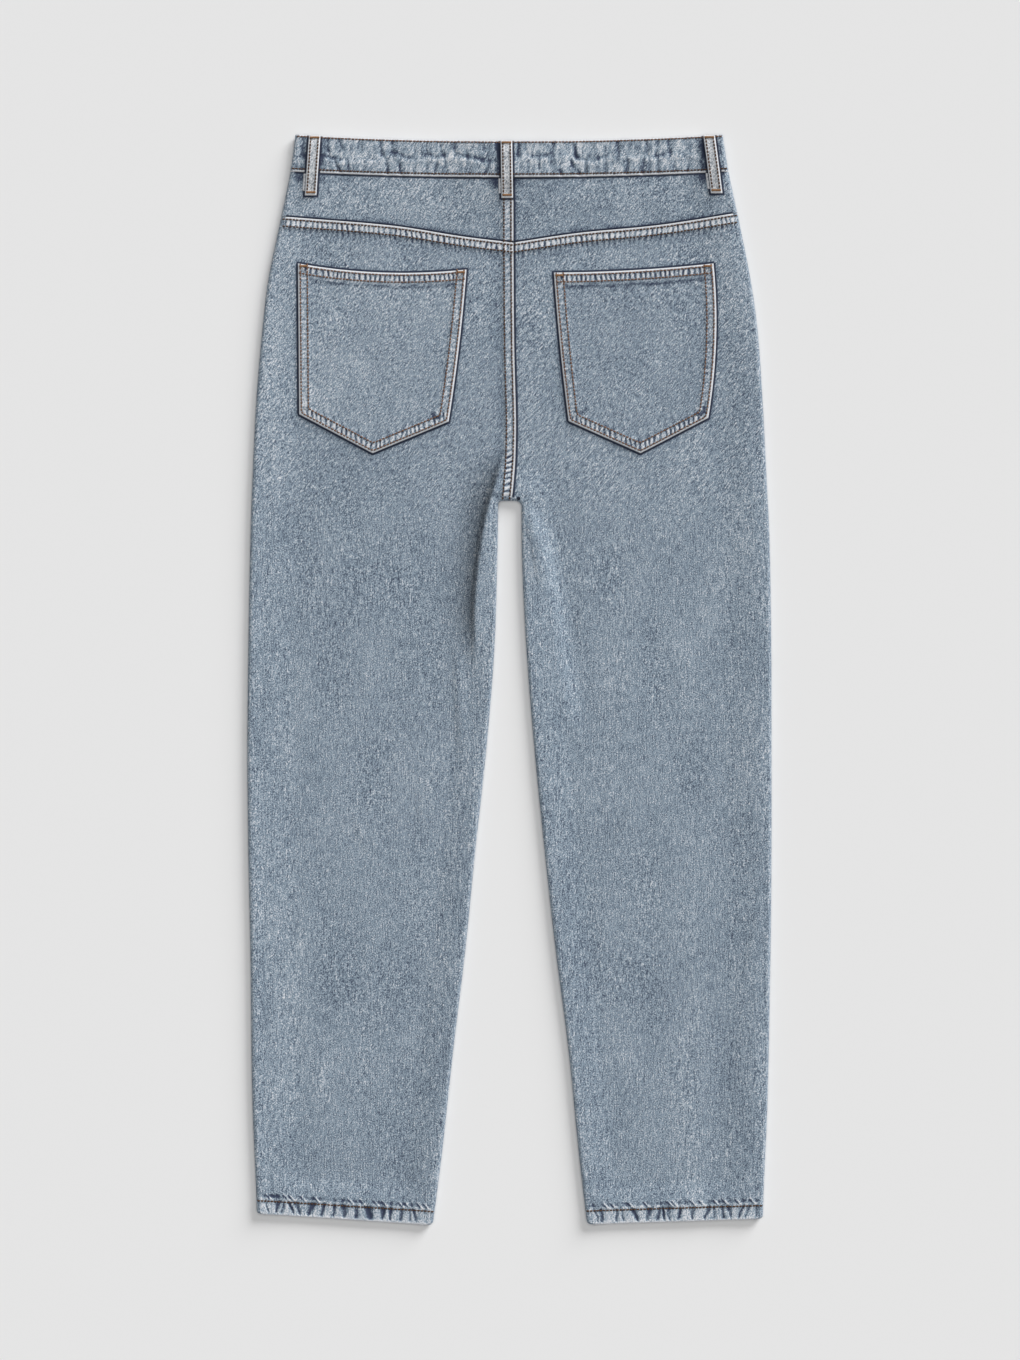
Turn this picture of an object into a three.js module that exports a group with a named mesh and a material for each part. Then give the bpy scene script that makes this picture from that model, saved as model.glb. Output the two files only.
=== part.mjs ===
import * as THREE from "three";

// Loose fit denim trousers laid face down on a surface, so that their back is up.
// Millimetres. +X is the wearer's right, +Y the waist, +Z up. The origin is on the surface,
// under the middle of the laid garment. Left and right are the wearer's.

// Cloth
const DENIM = 1.3; // one wall of denim
const HEM_WALL = 2.6; // the same cloth turned twice at the hem
const BAND_WALL = 2; // the waistband's doubled cloth
const POCKET_WALL = 1.2;
const LOOP_WALL = 1.6; // a belt loop, folded in three
const FRONT_LOOP_WALL = 1;
const SEAM_GAP = 0.3; // between two pieces at a seam
const LAID_GAP = 0.35; // between a piece and the panel that it lies on
const FELLED = 0.7; // how much a felled seam stands up
const FELLED_WIDTH = 9.6;
const FELLED_SLOPE = 1.4; // over which it comes down to the plain cloth

// The folds at the garment's sides
const FOLD_HEIGHT = 6.4;
const FOLD_RADIUS = FOLD_HEIGHT / 2;
const FOLD_STEPS = 5;
const WRAP = 14; // back cloth that turns under a fold, to the side seam or the inseam
const OUTER_SAG = 46; // how far in from a fold the back comes down onto the front
const INNER_SAG = 34;

// Heights of the garment along its length, from the middle of its outline
const CROTCH = 171.8;
const FRONT_SEAM = 0;
const HEM_WIDTH = 14;
const HEM_LIE = 5.8; // the back's outer face at the hem
const HEM_FADE = 28; // the length over which the leg rises to its hem
const HEM_CORNER = 4.5; // radius of the hem's corners

// Where the folds run: distance along the garment, and the left and the right fold across it
const OUTER_FOLDS = [
  { y: -523.2, left: -242.4, right: 243 },
  { y: -494.4, left: -242.9, right: 243.8 },
  { y: -403.2, left: -246.7, right: 247.7 },
  { y: -259.2, left: -248.6, right: 250.6 },
  { y: -163.2, left: -250.6, right: 251.5 },
  { y: -67.2, left: -251.5, right: 251.5 },
  { y: 28.8, left: -250.6, right: 251.3 },
  { y: 134.4, left: -248.6, right: 249.6 },
  { y: 192, left: -246.7, right: 246.9 },
  { y: 268.8, left: -242.9, right: 242.9 },
  { y: 336, left: -237.1, right: 238.1 },
  { y: 384, left: -231.4, right: 231.4 },
  { y: 444.5, left: -218.9, right: 219.4 },
  { y: 487.7, left: -210.2, right: 210.2 },
  { y: 523.2, left: -205.3, right: 204.5 },
];
const INNER_FOLDS = [
  { y: -523.2, left: -73.5, right: 74.5 },
  { y: -451.2, left: -64.3, right: 66.2 },
  { y: -355.2, left: -53.8, right: 56.6 },
  { y: -259.2, left: -42.2, right: 44.2 },
  { y: -163.2, left: -32.6, right: 33.6 },
  { y: -67.2, left: -22.1, right: 24 },
  { y: 28.8, left: -14.4, right: 16.3 },
  { y: 115.2, left: -11.6, right: 12 },
  { y: 171.8, left: -10.6, right: 11.5 },
];

// How high the back's outer face lies between its folds
const LIE = [
  { y: -524, height: 3.4 },
  { y: 0, height: 3.3 },
  { y: 300, height: 3.5 },
  { y: 430, height: 4.1 },
  { y: 490, height: 5 },
];

// The seam between back panel and yoke
const YOKE_SEAM = {
  left: [
    { x: -224, y: 444.9 },
    { x: -112.5, y: 435.8 },
    { x: -44.2, y: 425.3 },
    { x: 3.8, y: 419.5 },
  ],
  right: [
    { x: 3.8, y: 419.5 },
    { x: 65.6, y: 428.7 },
    { x: 143.6, y: 436.4 },
    { x: 224, y: 448.8 },
  ],
};

// The centre back seam, which bows to the right above the gap between the legs
const BACK_SEAM = [
  { y: 171.8, x: 2.4 },
  { y: 189, x: 4 },
  { y: 212, x: 5.7 },
  { y: 250, x: 6.3 },
  { y: 316, x: 4.7 },
  { y: 385, x: 4.1 },
  { y: 487.7, x: 3.8 },
];

// The waistband: its edges at the middle of the back, and how much they rise to the sides
const BAND_HALF = 210;
const BAND_SEAM = 482.2;
const BAND_TOP = 516.9;
const BAND_TOP_RISE = 6.2;
const FRONT_DROP = 1; // the front's top edge lies this much lower than the back's
const BAND_BASE = 1.3; // the front loops hold the band this far off the surface
const BAND_FOLD = 3; // radius of its side folds
const BAND_LIE = 6; // outer face of its back half
const BAND_SAG = 30;
const BAND_SIDE_RISE = 5.5; // of its seam, from the middle of the back to a side
const BAND_COLUMNS = 7; // between its folds and the lapped ends
const BAND_ROWS = [1, 0.9, 0.5, 0.1, 0];
const LAP = 22; // each end passes the middle of the front by this much
const LAP_RAMP = 36;
const BUTTON_LIFT = 0.6; // what the button adds to BAND_BASE in the middle
const HUMP = 2.5; // what the lapped ends add to the height of the back
const HUMP_FLAT = 28;
const HUMP_END = 70;
const YOKE_HUMP = 1.5;
const YOKE_HUMP_LENGTH = 60;
const YOKE_ROWS = [1, 0.75, 0.4, 0];

// The waist button
const BUTTON_RADIUS = 8.5;
const BUTTON_HEIGHT = 1.55;
const BUTTON_EDGE = 1.1;
const BUTTON_SIDES = 24;

// The front pocket openings
const SCOOP_WIDTH = 85;
const SCOOP_DEPTH = 78;
const SCOOP_STEPS = 7;
const SCOOP_SHARE = 0.35; // of the centre front seam that the rows from the opening take
const FRONT_SEAT_ROWS = 7; // below the opening
const FRONT_COLUMNS = [0, 0.08, 0.25, 0.5, 0.75, 0.92, 1];
const FACING_TIP = 3; // the facing ends this far above the opening's lower end

// Each side of the garment. corner is the radius at the top of the gap between the legs.
const SIDES = {
  left: { name: "left", toMiddle: 1, corner: 4, hemOuter: -512.6, hemInner: -523.2 },
  right: { name: "right", toMiddle: -1, corner: 6, hemOuter: -517.4, hemInner: -522.7 },
};

// Rows round the top of the gap: the turn of the gap's edge, and where the row meets the outer fold
const GAP_START_OUTER = 222;
const GAP_ROWS = [
  { turn: 0, outer: 212 },
  { turn: 30, outer: 200 },
  { turn: 60, outer: 188 },
  { turn: 90, outer: 176 },
];
const LEG_ROWS = 16;
const LEG_SPREAD = 1.15; // above 1, the rows are closer together near the gap
const HEM_ROWS = [40, 26, 15, HEM_WIDTH, 8, HEM_CORNER, 1.5, 0];
const SEAT_ROWS = [0.07, 0.18, 0.3, 0.42, 0.54, 0.66, 0.77, 0.86, 0.93];

// Columns across the back, as distances in from its folds or from the centre seam
const OUTER_COLUMNS = [7, 15, 26, 40];
const INNER_COLUMNS = [30, 18, 10, 5];
const SEAM_COLUMNS = [32, 20, FELLED_WIDTH + FELLED_SLOPE, FELLED_WIDTH];
const MIDDLE_COLUMNS = 5;

// The largest folds of the cloth: from and to, how far they bow sideways, height and half width
const CREASES = [
  { side: "left", x1: -7, y1: 226, x2: -33, y2: 28, bow: -6, height: 1.5, width: 8 },
  { side: "left", x1: -52, y1: 34, x2: -47, y2: -70, bow: 2, height: 0.6, width: 9 },
  { side: "right", x1: 21, y1: 152, x2: 66, y2: -68, bow: 2, height: 0.9, width: 13 },
];

const POCKETS = [
  {
    side: "left",
    topLeft: [-202.9, 399.6],
    topRight: [-41.1, 393.8],
    bottomLeft: [-201.8, 254.9],
    bottomRight: [-58.3, 247.7],
    tip: [-131.2, 217.4],
    topDip: -5.8,
    leftBulge: 0,
    rightBulge: 1.5,
  },
  {
    side: "right",
    topLeft: [42.5, 390.8],
    topRight: [195.7, 399.6],
    bottomLeft: [56.6, 248.3],
    bottomRight: [190.7, 251.2],
    tip: [125.7, 217.4],
    topDip: -2,
    leftBulge: -1,
    rightBulge: 5,
  },
];
const POCKET_COLUMNS = 4; // on each side of the pocket's point
const POCKET_ROWS = 9;

const LOOP_WIDTH = 11.4;
const LOOP_CLIMB = 12; // below the waistband, where a loop starts to follow its height
const FRONT_LOOP_EDGE = 1.5;
const BACK_LOOPS = [
  { name: "left", topX: -186.6, bottomX: -190.6, bottomY: 464.6 },
  { name: "centre", topX: -2.9, bottomX: -2.1, bottomY: 462.1 },
  { name: "right", topX: 191.4, bottomX: 198.7, bottomY: 466.6 },
];
// A belt loop's path: the share of its length, and how far it stands off what it lies on
const LOOP_PATH = [
  { share: 0, stand: 0 },
  { share: 0.1, stand: 0 },
  { share: 0.3, stand: 1.3 },
  { share: 0.45, stand: 1.9 },
  { share: 0.68, stand: 1.9 },
  { share: 0.86, stand: 1.4 },
  { share: 0.95, stand: 0.1 },
  { share: 1, stand: 0 },
];
const FRONT_LOOPS = [
  { name: "left", x: -96 },
  { name: "right", x: 96 },
];

const DENIM_FINISH = { color: 0x83909c, roughness: 0.94, metalness: 0 };
const POCKET_FINISH = { color: 0x8a959d, roughness: 0.94, metalness: 0 };
const BAND_FINISH = { color: 0x89919c, roughness: 0.94, metalness: 0 };
const LOOP_FINISH = { color: 0x9a999e, roughness: 0.94, metalness: 0 };
const METAL_FINISH = { color: 0x8e8478, roughness: 0.4, metalness: 1 };

const group = new THREE.Group();

function add(name, geometry, finish) {
  const mesh = new THREE.Mesh(geometry, new THREE.MeshStandardMaterial(finish));
  mesh.name = name;
  group.add(mesh);
}

function mix(a, b, t) {
  return a + (b - a) * t;
}

// 1 at 0 and below, 0 at 1 and above, level at both ends
function fade(t) {
  const s = Math.min(1, Math.max(0, t));
  return (1 - s) * (1 - s) * (1 + 2 * s);
}

// A smooth curve through one column of a table whose rows rise in its key
function along(table, key, column, at) {
  let i = 0;
  while (i < table.length - 2 && at > table[i + 1][key]) {
    i += 1;
  }
  const slope = (j) => {
    const before = table[Math.max(0, j - 1)];
    const after = table[Math.min(table.length - 1, j + 1)];
    return (after[column] - before[column]) / (after[key] - before[key]);
  };
  const start = table[i];
  const end = table[i + 1];
  const span = end[key] - start[key];
  const t = Math.min(1, Math.max(0, (at - start[key]) / span));
  const bend = t * (1 - t) * span;
  return (
    mix(start[column], end[column], 1 - fade(t)) + bend * ((1 - t) * slope(i) - t * slope(i + 1))
  );
}

// A place on a fold, and the way from it into the cloth. hemY is the hem's height there.
function foldPlace(side, table, y, inward, hemY) {
  const slope = (along(table, "y", side.name, y + 1) - along(table, "y", side.name, y - 1)) / 2;
  const length = Math.hypot(1, slope);
  const belowCorner = Math.max(0, HEM_CORNER - (y - hemY));
  const cornerIn = HEM_CORNER - Math.sqrt(HEM_CORNER ** 2 - belowCorner ** 2);
  const x = along(table, "y", side.name, y) + inward * cornerIn;
  return { x, y, nx: inward / length, ny: (-inward * slope) / length };
}

function outerPlace(side, y) {
  return foldPlace(side, OUTER_FOLDS, y, side.toMiddle, side.hemOuter);
}

// Places along the inner fold: along the top of the gap from the seam, round its corner, down the leg
function innerPlaces(side, seamX) {
  const top = CROTCH - side.corner;
  const centreX = along(INNER_FOLDS, "y", side.name, top) + side.toMiddle * side.corner;
  const places = [{ x: seamX, y: CROTCH, nx: 0, ny: 1, outerY: GAP_START_OUTER }];
  for (const row of GAP_ROWS) {
    const turn = THREE.MathUtils.degToRad(row.turn);
    const nx = -side.toMiddle * Math.sin(turn);
    const ny = Math.cos(turn);
    const x = centreX + nx * side.corner;
    const y = top + ny * side.corner;
    places.push({ x, y, nx, ny, outerY: row.outer });
  }
  const lastTurn = GAP_ROWS[GAP_ROWS.length - 1].outer;
  const hemStart = HEM_ROWS[0];
  for (let row = 1; row < LEG_ROWS; row += 1) {
    const share = (row / LEG_ROWS) ** LEG_SPREAD;
    const y = mix(top, side.hemInner + hemStart, share);
    const place = foldPlace(side, INNER_FOLDS, y, -side.toMiddle, side.hemInner);
    places.push({ ...place, outerY: mix(lastTurn, side.hemOuter + hemStart, share) });
  }
  for (const above of HEM_ROWS) {
    const y = side.hemInner + above;
    const place = foldPlace(side, INNER_FOLDS, y, -side.toMiddle, side.hemInner);
    places.push({ ...place, outerY: side.hemOuter + above, aboveHem: above });
  }
  return places;
}

function hemEdge(side, x) {
  const outer = along(OUTER_FOLDS, "y", side.name, side.hemOuter);
  const inner = along(INNER_FOLDS, "y", side.name, side.hemInner);
  return mix(side.hemOuter, side.hemInner, (x - outer) / (inner - outer));
}

function creaseRise(side, x, y) {
  let rise = 0;
  for (const crease of CREASES.filter((one) => one.side === side.name)) {
    const dx = crease.x2 - crease.x1;
    const dy = crease.y2 - crease.y1;
    const length = Math.hypot(dx, dy);
    const t = ((x - crease.x1) * dx + (y - crease.y1) * dy) / (length * length);
    const across = ((x - crease.x1) * dy - (y - crease.y1) * dx) / length;
    const bowed = across + crease.bow * 4 * t * (1 - t);
    const ends = 1 - fade(Math.min(t, 1 - t) * 4);
    rise += crease.height * ends * fade(Math.abs(bowed) / crease.width);
  }
  return rise;
}

function humpAcross(x) {
  return fade((Math.abs(x) - HUMP_FLAT) / (HUMP_END - HUMP_FLAT));
}

function backSeam(y) {
  return along(BACK_SEAM, "y", "x", y);
}

// Height of the back's outer face, between its folds
function backHeight(side, x, y) {
  const fromOuter = Math.abs(x - along(OUTER_FOLDS, "y", side.name, y));
  const foldX = along(INNER_FOLDS, "y", side.name, Math.min(y, CROTCH));
  const beside = Math.max(0, side.toMiddle * (foldX - x));
  const fromInner = Math.hypot(beside, Math.max(0, y - CROTCH));
  const hem = fade((y - hemEdge(side, x) - HEM_WIDTH) / HEM_FADE);
  const lie = mix(along(LIE, "y", "height", y), HEM_LIE, y < 0 ? hem : 0);
  const outer = fade((fromOuter - FOLD_RADIUS) / OUTER_SAG);
  const inner = fade((fromInner - FOLD_RADIUS) / INNER_SAG);
  const swell = (FOLD_HEIGHT - lie) * Math.min(1, outer + inner);
  const hump = YOKE_HUMP * humpAcross(x) * fade((bandSeam(x) - y) / YOKE_HUMP_LENGTH);
  return lie + swell + hump + creaseRise(side, x, y);
}

function yokeSeam(side, x) {
  return along(YOKE_SEAM[side.name], "x", "y", x);
}

function bandSeam(x) {
  return BAND_SEAM + BAND_SIDE_RISE * (x / BAND_HALF) ** 2;
}

function bandTop(x) {
  return BAND_TOP + BAND_TOP_RISE * (x / BAND_HALF) ** 2;
}

function frontBandTop(x) {
  return bandTop(x) - FRONT_DROP * Math.max(0, 1 - (x / BAND_HALF) ** 2);
}

// Height of the waistband's outer face on the back, y telling how far out its folds are
function bandHeight(x, y) {
  const side = x < 0 ? "left" : "right";
  const fromFold = Math.abs(x - along(OUTER_FOLDS, "y", side, y));
  const swell = (BAND_BASE + 2 * BAND_FOLD - BAND_LIE) * fade((fromFold - BAND_FOLD) / BAND_SAG);
  return BAND_LIE + swell + HUMP * humpAcross(x);
}

// Height of the waistband's outer face on the front, which is its underside
function bandUnder(x) {
  return BAND_BASE + BUTTON_LIFT * fade((Math.abs(x) - LAP) / LAP);
}

// Points from a fold's underside round to its top, for a place on it
function roll(place, radius, base) {
  const points = [];
  for (let step = 0; step <= FOLD_STEPS; step += 1) {
    const angle = Math.PI * (step / FOLD_STEPS - 0.5);
    const inward = radius * (1 - Math.cos(angle));
    const height = base + radius * (1 + Math.sin(angle));
    points.push([place.x + place.nx * inward, place.y + place.ny * inward, height]);
  }
  return points;
}

function inside(place, distance, height) {
  return [place.x + place.nx * distance, place.y + place.ny * distance, height];
}

// Distances from the outer end of a row: close together at both ends, even between them
function columnDistances(length, innerColumns) {
  const first = OUTER_COLUMNS[OUTER_COLUMNS.length - 1];
  const last = length - innerColumns[0];
  const middle = [];
  for (let column = 1; column < MIDDLE_COLUMNS; column += 1) {
    middle.push(mix(first, last, column / MIDDLE_COLUMNS));
  }
  return [...OUTER_COLUMNS, ...middle, ...innerColumns.map((distance) => length - distance)];
}

// Quads between rows of points. A row may be longer than the one before it.
function quadsOf(rows) {
  const starts = [];
  let count = 0;
  for (const row of rows) {
    starts.push(count);
    count += row.length;
  }
  const quads = [];
  for (let r = 0; r + 1 < rows.length; r += 1) {
    const shared = Math.min(rows[r].length, rows[r + 1].length);
    for (let c = 0; c + 1 < shared; c += 1) {
      const here = starts[r] + c;
      const next = starts[r + 1] + c;
      quads.push([here, next, next + 1, here + 1]);
    }
  }
  return quads;
}

// A wall of cloth from rows of points on its outer face. way is 1 where the outer face shows the
// rows running down and the columns to the right, and -1 where it is the other way round.
// thickness gives the wall at a row.
function wall(rows, way, thickness) {
  const outer = rows.flat().map((point) => new THREE.Vector3(...point));
  const walls = rows.flatMap((row, index) => row.map(() => thickness(index)));
  const quads = quadsOf(rows).map((quad) => (way > 0 ? quad : [...quad].reverse()));
  const normals = outer.map(() => new THREE.Vector3());
  for (const [a, b, c, d] of quads) {
    const across = new THREE.Vector3().subVectors(outer[c], outer[a]);
    const other = new THREE.Vector3().subVectors(outer[d], outer[b]);
    const normal = across.cross(other).normalize();
    for (const corner of [a, b, c, d]) {
      normals[corner].add(normal);
    }
  }
  const inner = outer.map((point, i) =>
    point.clone().addScaledVector(normals[i].normalize(), -walls[i]),
  );
  const count = outer.length;
  const index = [];
  const edges = new Map();
  for (const quad of quads) {
    const [a, b, c, d] = quad;
    index.push(a, b, c, a, c, d);
    index.push(count + a, count + c, count + b, count + a, count + d, count + c);
    quad.forEach((from, i) => {
      const to = quad[(i + 1) % 4];
      if (!edges.delete(`${to} ${from}`)) {
        edges.set(`${from} ${to}`, [from, to]);
      }
    });
  }
  for (const [from, to] of edges.values()) {
    index.push(to, from, count + from, to, count + from, count + to);
  }
  const geometry = new THREE.BufferGeometry().setFromPoints([...outer, ...inner]);
  geometry.setIndex(index);
  return geometry;
}

// The outer end of a row across the back: the flap under the fold, then the fold
function outerEnd(side, y) {
  const place = outerPlace(side, y);
  return [inside(place, WRAP, 0), ...roll(place, FOLD_RADIUS, 0)];
}

// Where a line across the garment meets the outer fold
function meetFold(side, yAt) {
  let y = yAt(side.toMiddle * -BAND_HALF);
  for (let pass = 0; pass < 6; pass += 1) {
    y = yAt(along(OUTER_FOLDS, "y", side.name, y));
  }
  return y;
}

// A row across the seat or the yoke, from under the outer fold to the centre back seam
function seatRow(side, yAt, rise, seamRise) {
  const start = outerEnd(side, meetFold(side, yAt));
  start[start.length - 1][2] += rise;
  const from = start[start.length - 1][0];
  const seamX = backSeam(yAt(0)) - side.toMiddle * (SEAM_GAP / 2);
  const length = Math.abs(seamX - from);
  const row = [...start];
  for (const distance of [...columnDistances(length, SEAM_COLUMNS), length]) {
    const x = from + side.toMiddle * distance;
    const y = yAt(x);
    const felled = length - distance <= FELLED_WIDTH ? seamRise : 0;
    row.push([x, y, backHeight(side, x, y) + Math.max(rise, felled)]);
  }
  return row;
}

// A row across the leg, from under its outer fold to under its inner fold
function legRow(side, place) {
  const start = outerEnd(side, place.outerY);
  const end = [inside(place, WRAP, 0), ...roll(place, FOLD_RADIUS, 0)].reverse();
  const [fromX, fromY] = start[start.length - 1];
  const [toX, toY] = end[0];
  const length = Math.hypot(toX - fromX, toY - fromY);
  const row = [...start];
  for (const distance of columnDistances(length, INNER_COLUMNS)) {
    const x = mix(fromX, toX, distance / length);
    const y = mix(fromY, toY, distance / length);
    row.push([x, y, backHeight(side, x, y)]);
  }
  return [...row, ...end];
}

function backPanel(side) {
  const seamX = backSeam(CROTCH) - side.toMiddle * (SEAM_GAP / 2);
  const seamRise = side.name === "left" ? FELLED : 0;
  const places = innerPlaces(side, seamX);
  const legRows = places.map((place) => legRow(side, place));
  const outerStart = outerPlace(side, GAP_START_OUTER);
  const gapShare = (x) => (x - outerStart.x) / (seamX - outerStart.x);
  const gapLine = (x) => mix(GAP_START_OUTER, CROTCH + FOLD_RADIUS, gapShare(x));
  const rows = [];
  for (const below of [0, FELLED_WIDTH, FELLED_WIDTH + FELLED_SLOPE]) {
    const yAt = (x) => yokeSeam(side, x) - below;
    const rise = below <= FELLED_WIDTH ? FELLED : 0;
    rows.push(seatRow(side, yAt, rise, seamRise));
  }
  for (const share of SEAT_ROWS) {
    const yAt = (x) => mix(yokeSeam(side, x) - FELLED_WIDTH, gapLine(x), share);
    rows.push(seatRow(side, yAt, 0, seamRise * fade((share - 0.8) * 5)));
  }
  const seatCount = rows.length;
  rows.push(...legRows);
  const thickness = (row) => {
    const aboveHem = row < seatCount ? undefined : places[row - seatCount].aboveHem;
    return aboveHem <= HEM_WIDTH ? HEM_WALL : DENIM;
  };
  return wall(rows, side.toMiddle, thickness);
}

function yoke(side) {
  const seamRise = side.name === "left" ? FELLED : 0;
  const rows = YOKE_ROWS.map((share) => {
    const yAt = (x) => mix(yokeSeam(side, x) + SEAM_GAP, bandSeam(x) - SEAM_GAP, share);
    return seatRow(side, yAt, 0, seamRise);
  });
  return wall(rows, side.toMiddle, () => DENIM);
}

function frontEdge(side, y) {
  return inside(outerPlace(side, y), WRAP + SEAM_GAP, 0);
}

// The front's side seam at a height
function frontEdgeX(side, y) {
  let foldY = y;
  for (let pass = 0; pass < 4; pass += 1) {
    foldY += y - frontEdge(side, foldY)[1];
  }
  return frontEdge(side, foldY)[0];
}

// Where the front pocket's opening starts, at the waistband
function scoopTop(side) {
  const x = frontEdgeX(side, BAND_SEAM) + side.toMiddle * SCOOP_WIDTH;
  return bandSeam(x) - SEAM_GAP;
}

function scoopPoint(side, step) {
  const angle = (Math.PI / 2) * (step / SCOOP_STEPS);
  const y = scoopTop(side) - SCOOP_DEPTH * Math.sin(angle);
  return [frontEdgeX(side, y) + side.toMiddle * SCOOP_WIDTH * Math.cos(angle), y, 0];
}

function frontPanel(side) {
  const seamX = FRONT_SEAM - side.toMiddle * (SEAM_GAP / 2);
  const places = innerPlaces(side, seamX);
  const rowBetween = ([x1, y1], [x2, y2]) =>
    FRONT_COLUMNS.map((t) => [mix(x1, x2, t), mix(y1, y2, t), 0]);
  const rows = [];
  const top = bandSeam(seamX) - SEAM_GAP;
  const bottom = CROTCH + WRAP + SEAM_GAP;
  for (let step = 0; step <= SCOOP_STEPS; step += 1) {
    const end = [seamX, mix(top, bottom, (SCOOP_SHARE * step) / SCOOP_STEPS)];
    rows.push(rowBetween(scoopPoint(side, step), end));
  }
  rows[0] = rows[0].map(([x]) => [x, bandSeam(x) - SEAM_GAP, 0]);
  const scoopEnd = rows[SCOOP_STEPS][0][1];
  for (let step = 1; step < FRONT_SEAT_ROWS; step += 1) {
    const share = step / FRONT_SEAT_ROWS;
    const outer = frontEdge(side, mix(scoopEnd, GAP_START_OUTER, share));
    rows.push(rowBetween(outer, [seamX, mix(mix(top, bottom, SCOOP_SHARE), bottom, share)]));
  }
  const seatCount = rows.length;
  for (const place of places) {
    rows.push(rowBetween(frontEdge(side, place.outerY), inside(place, WRAP + SEAM_GAP, 0)));
  }
  const thickness = (row) => {
    const aboveHem = row < seatCount ? undefined : places[row - seatCount].aboveHem;
    return aboveHem <= HEM_WIDTH ? HEM_WALL : DENIM;
  };
  return wall(rows, -side.toMiddle, thickness);
}

// The cloth that shows in the front pocket's opening, level with the panel
function frontFacing(side) {
  const points = [];
  for (let step = 0; step < SCOOP_STEPS; step += 1) {
    const [x, y] = scoopPoint(side, step);
    points.push([x - side.toMiddle * 2 * SEAM_GAP, y + (step === 0 ? 0 : SEAM_GAP)]);
  }
  const last = scoopPoint(side, SCOOP_STEPS)[1] + FACING_TIP;
  const sideTop = bandSeam(frontEdgeX(side, BAND_SEAM)) - SEAM_GAP;
  for (let step = 0; step <= 4; step += 1) {
    const y = mix(last, sideTop, step / 4);
    points.push([frontEdgeX(side, y) + side.toMiddle * SEAM_GAP, y]);
  }
  const [topX] = points[points.length - 1];
  for (let step = 1; step < 4; step += 1) {
    const x = mix(topX, points[0][0], step / 4);
    points.push([x, bandSeam(x) - SEAM_GAP]);
  }
  const shape = new THREE.Shape(points.map(([x, y]) => new THREE.Vector2(x, y)));
  return new THREE.ExtrudeGeometry(shape, { depth: DENIM, bevelEnabled: false });
}

// One edge-to-edge line of the waistband, from its under end round the left side, the back and the
// right side to its upper end. share runs from its seam to its top edge.
function bandRow(share) {
  const sideY = mix(bandSeam(BAND_HALF), bandTop(BAND_HALF), share);
  const frontY = (x) => mix(bandSeam(x), frontBandTop(x), share);
  const backY = (x) => mix(bandSeam(x), bandTop(x), share);
  const leftRoll = roll(outerPlace(SIDES.left, sideY), BAND_FOLD, BAND_BASE);
  const rightRoll = roll(outerPlace(SIDES.right, sideY), BAND_FOLD, BAND_BASE).reverse();
  const leftEnd = leftRoll[0][0];
  const rightEnd = rightRoll[0][0];
  const row = [];
  for (const x of [LAP, 0, -LAP, -LAP * 2, mix(-LAP * 2, leftEnd, 0.33), mix(-LAP * 2, leftEnd, 0.67)]) {
    row.push([x, frontY(x), bandUnder(x)]);
  }
  row.push(...leftRoll);
  const nearFold = [10, 22];
  const nearHump = [HUMP_END, mix(HUMP_END, HUMP_FLAT, 0.5), HUMP_FLAT];
  const xs = nearFold.map((distance) => leftEnd + distance);
  for (let i = 1; i < BAND_COLUMNS; i += 1) {
    xs.push(mix(leftEnd + nearFold[1], -nearHump[0], i / BAND_COLUMNS));
  }
  xs.push(...nearHump.map((x) => -x), 0, ...[...nearHump].reverse());
  for (let i = 1; i < BAND_COLUMNS; i += 1) {
    xs.push(mix(nearHump[0], rightEnd - nearFold[1], i / BAND_COLUMNS));
  }
  xs.push(...nearFold.map((distance) => rightEnd - distance).reverse());
  for (const x of xs) {
    row.push([x, backY(x), bandHeight(x, sideY)]);
  }
  row.push(...rightRoll);
  const rampStart = LAP + LAP_RAMP + 3;
  const under = (x) => bandUnder(x) + (BAND_WALL + SEAM_GAP) * fade((x - LAP - 3) / LAP_RAMP);
  const upperXs = [mix(rightEnd, rampStart, 0.5), rampStart, mix(rampStart, LAP + 3, 0.35)];
  upperXs.push(mix(rampStart, LAP + 3, 0.7), LAP + 3, 0, -LAP);
  for (const x of upperXs) {
    row.push([x, frontY(x), under(x)]);
  }
  return row;
}

function waistband() {
  const rows = BAND_ROWS.map(bandRow);
  return wall(rows, 1, () => BAND_WALL);
}

// A patch pocket with a pointed bottom, from the panel's points moved out
function pocket(cut) {
  const side = SIDES[cut.side];
  const tipShare = (cut.tip[0] - cut.bottomLeft[0]) / (cut.bottomRight[0] - cut.bottomLeft[0]);
  const point = (u, v) => {
    const bulge = 4 * v * (1 - v);
    const left = mix(cut.topLeft[0], cut.bottomLeft[0], v) + cut.leftBulge * bulge;
    const right = mix(cut.topRight[0], cut.bottomRight[0], v) + cut.rightBulge * bulge;
    const top = mix(cut.topLeft[1], cut.topRight[1], u) + cut.topDip * 4 * u * (1 - u);
    const bottom =
      u < tipShare
        ? mix(cut.bottomLeft[1], cut.tip[1], u / tipShare)
        : mix(cut.tip[1], cut.bottomRight[1], (u - tipShare) / (1 - tipShare));
    const x = mix(left, right, u);
    const y = mix(top, bottom, v);
    return [x, y, backHeight(side, x, y) + LAID_GAP + POCKET_WALL];
  };
  const rows = [];
  for (let r = 0; r <= POCKET_ROWS; r += 1) {
    const row = [];
    for (let c = 0; c <= 2 * POCKET_COLUMNS; c += 1) {
      const half = c / POCKET_COLUMNS;
      const u = half <= 1 ? half * tipShare : mix(tipShare, 1, half - 1);
      row.push(point(u, r / POCKET_ROWS));
    }
    rows.push(row);
  }
  return wall(rows, 1, () => POCKET_WALL);
}

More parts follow.
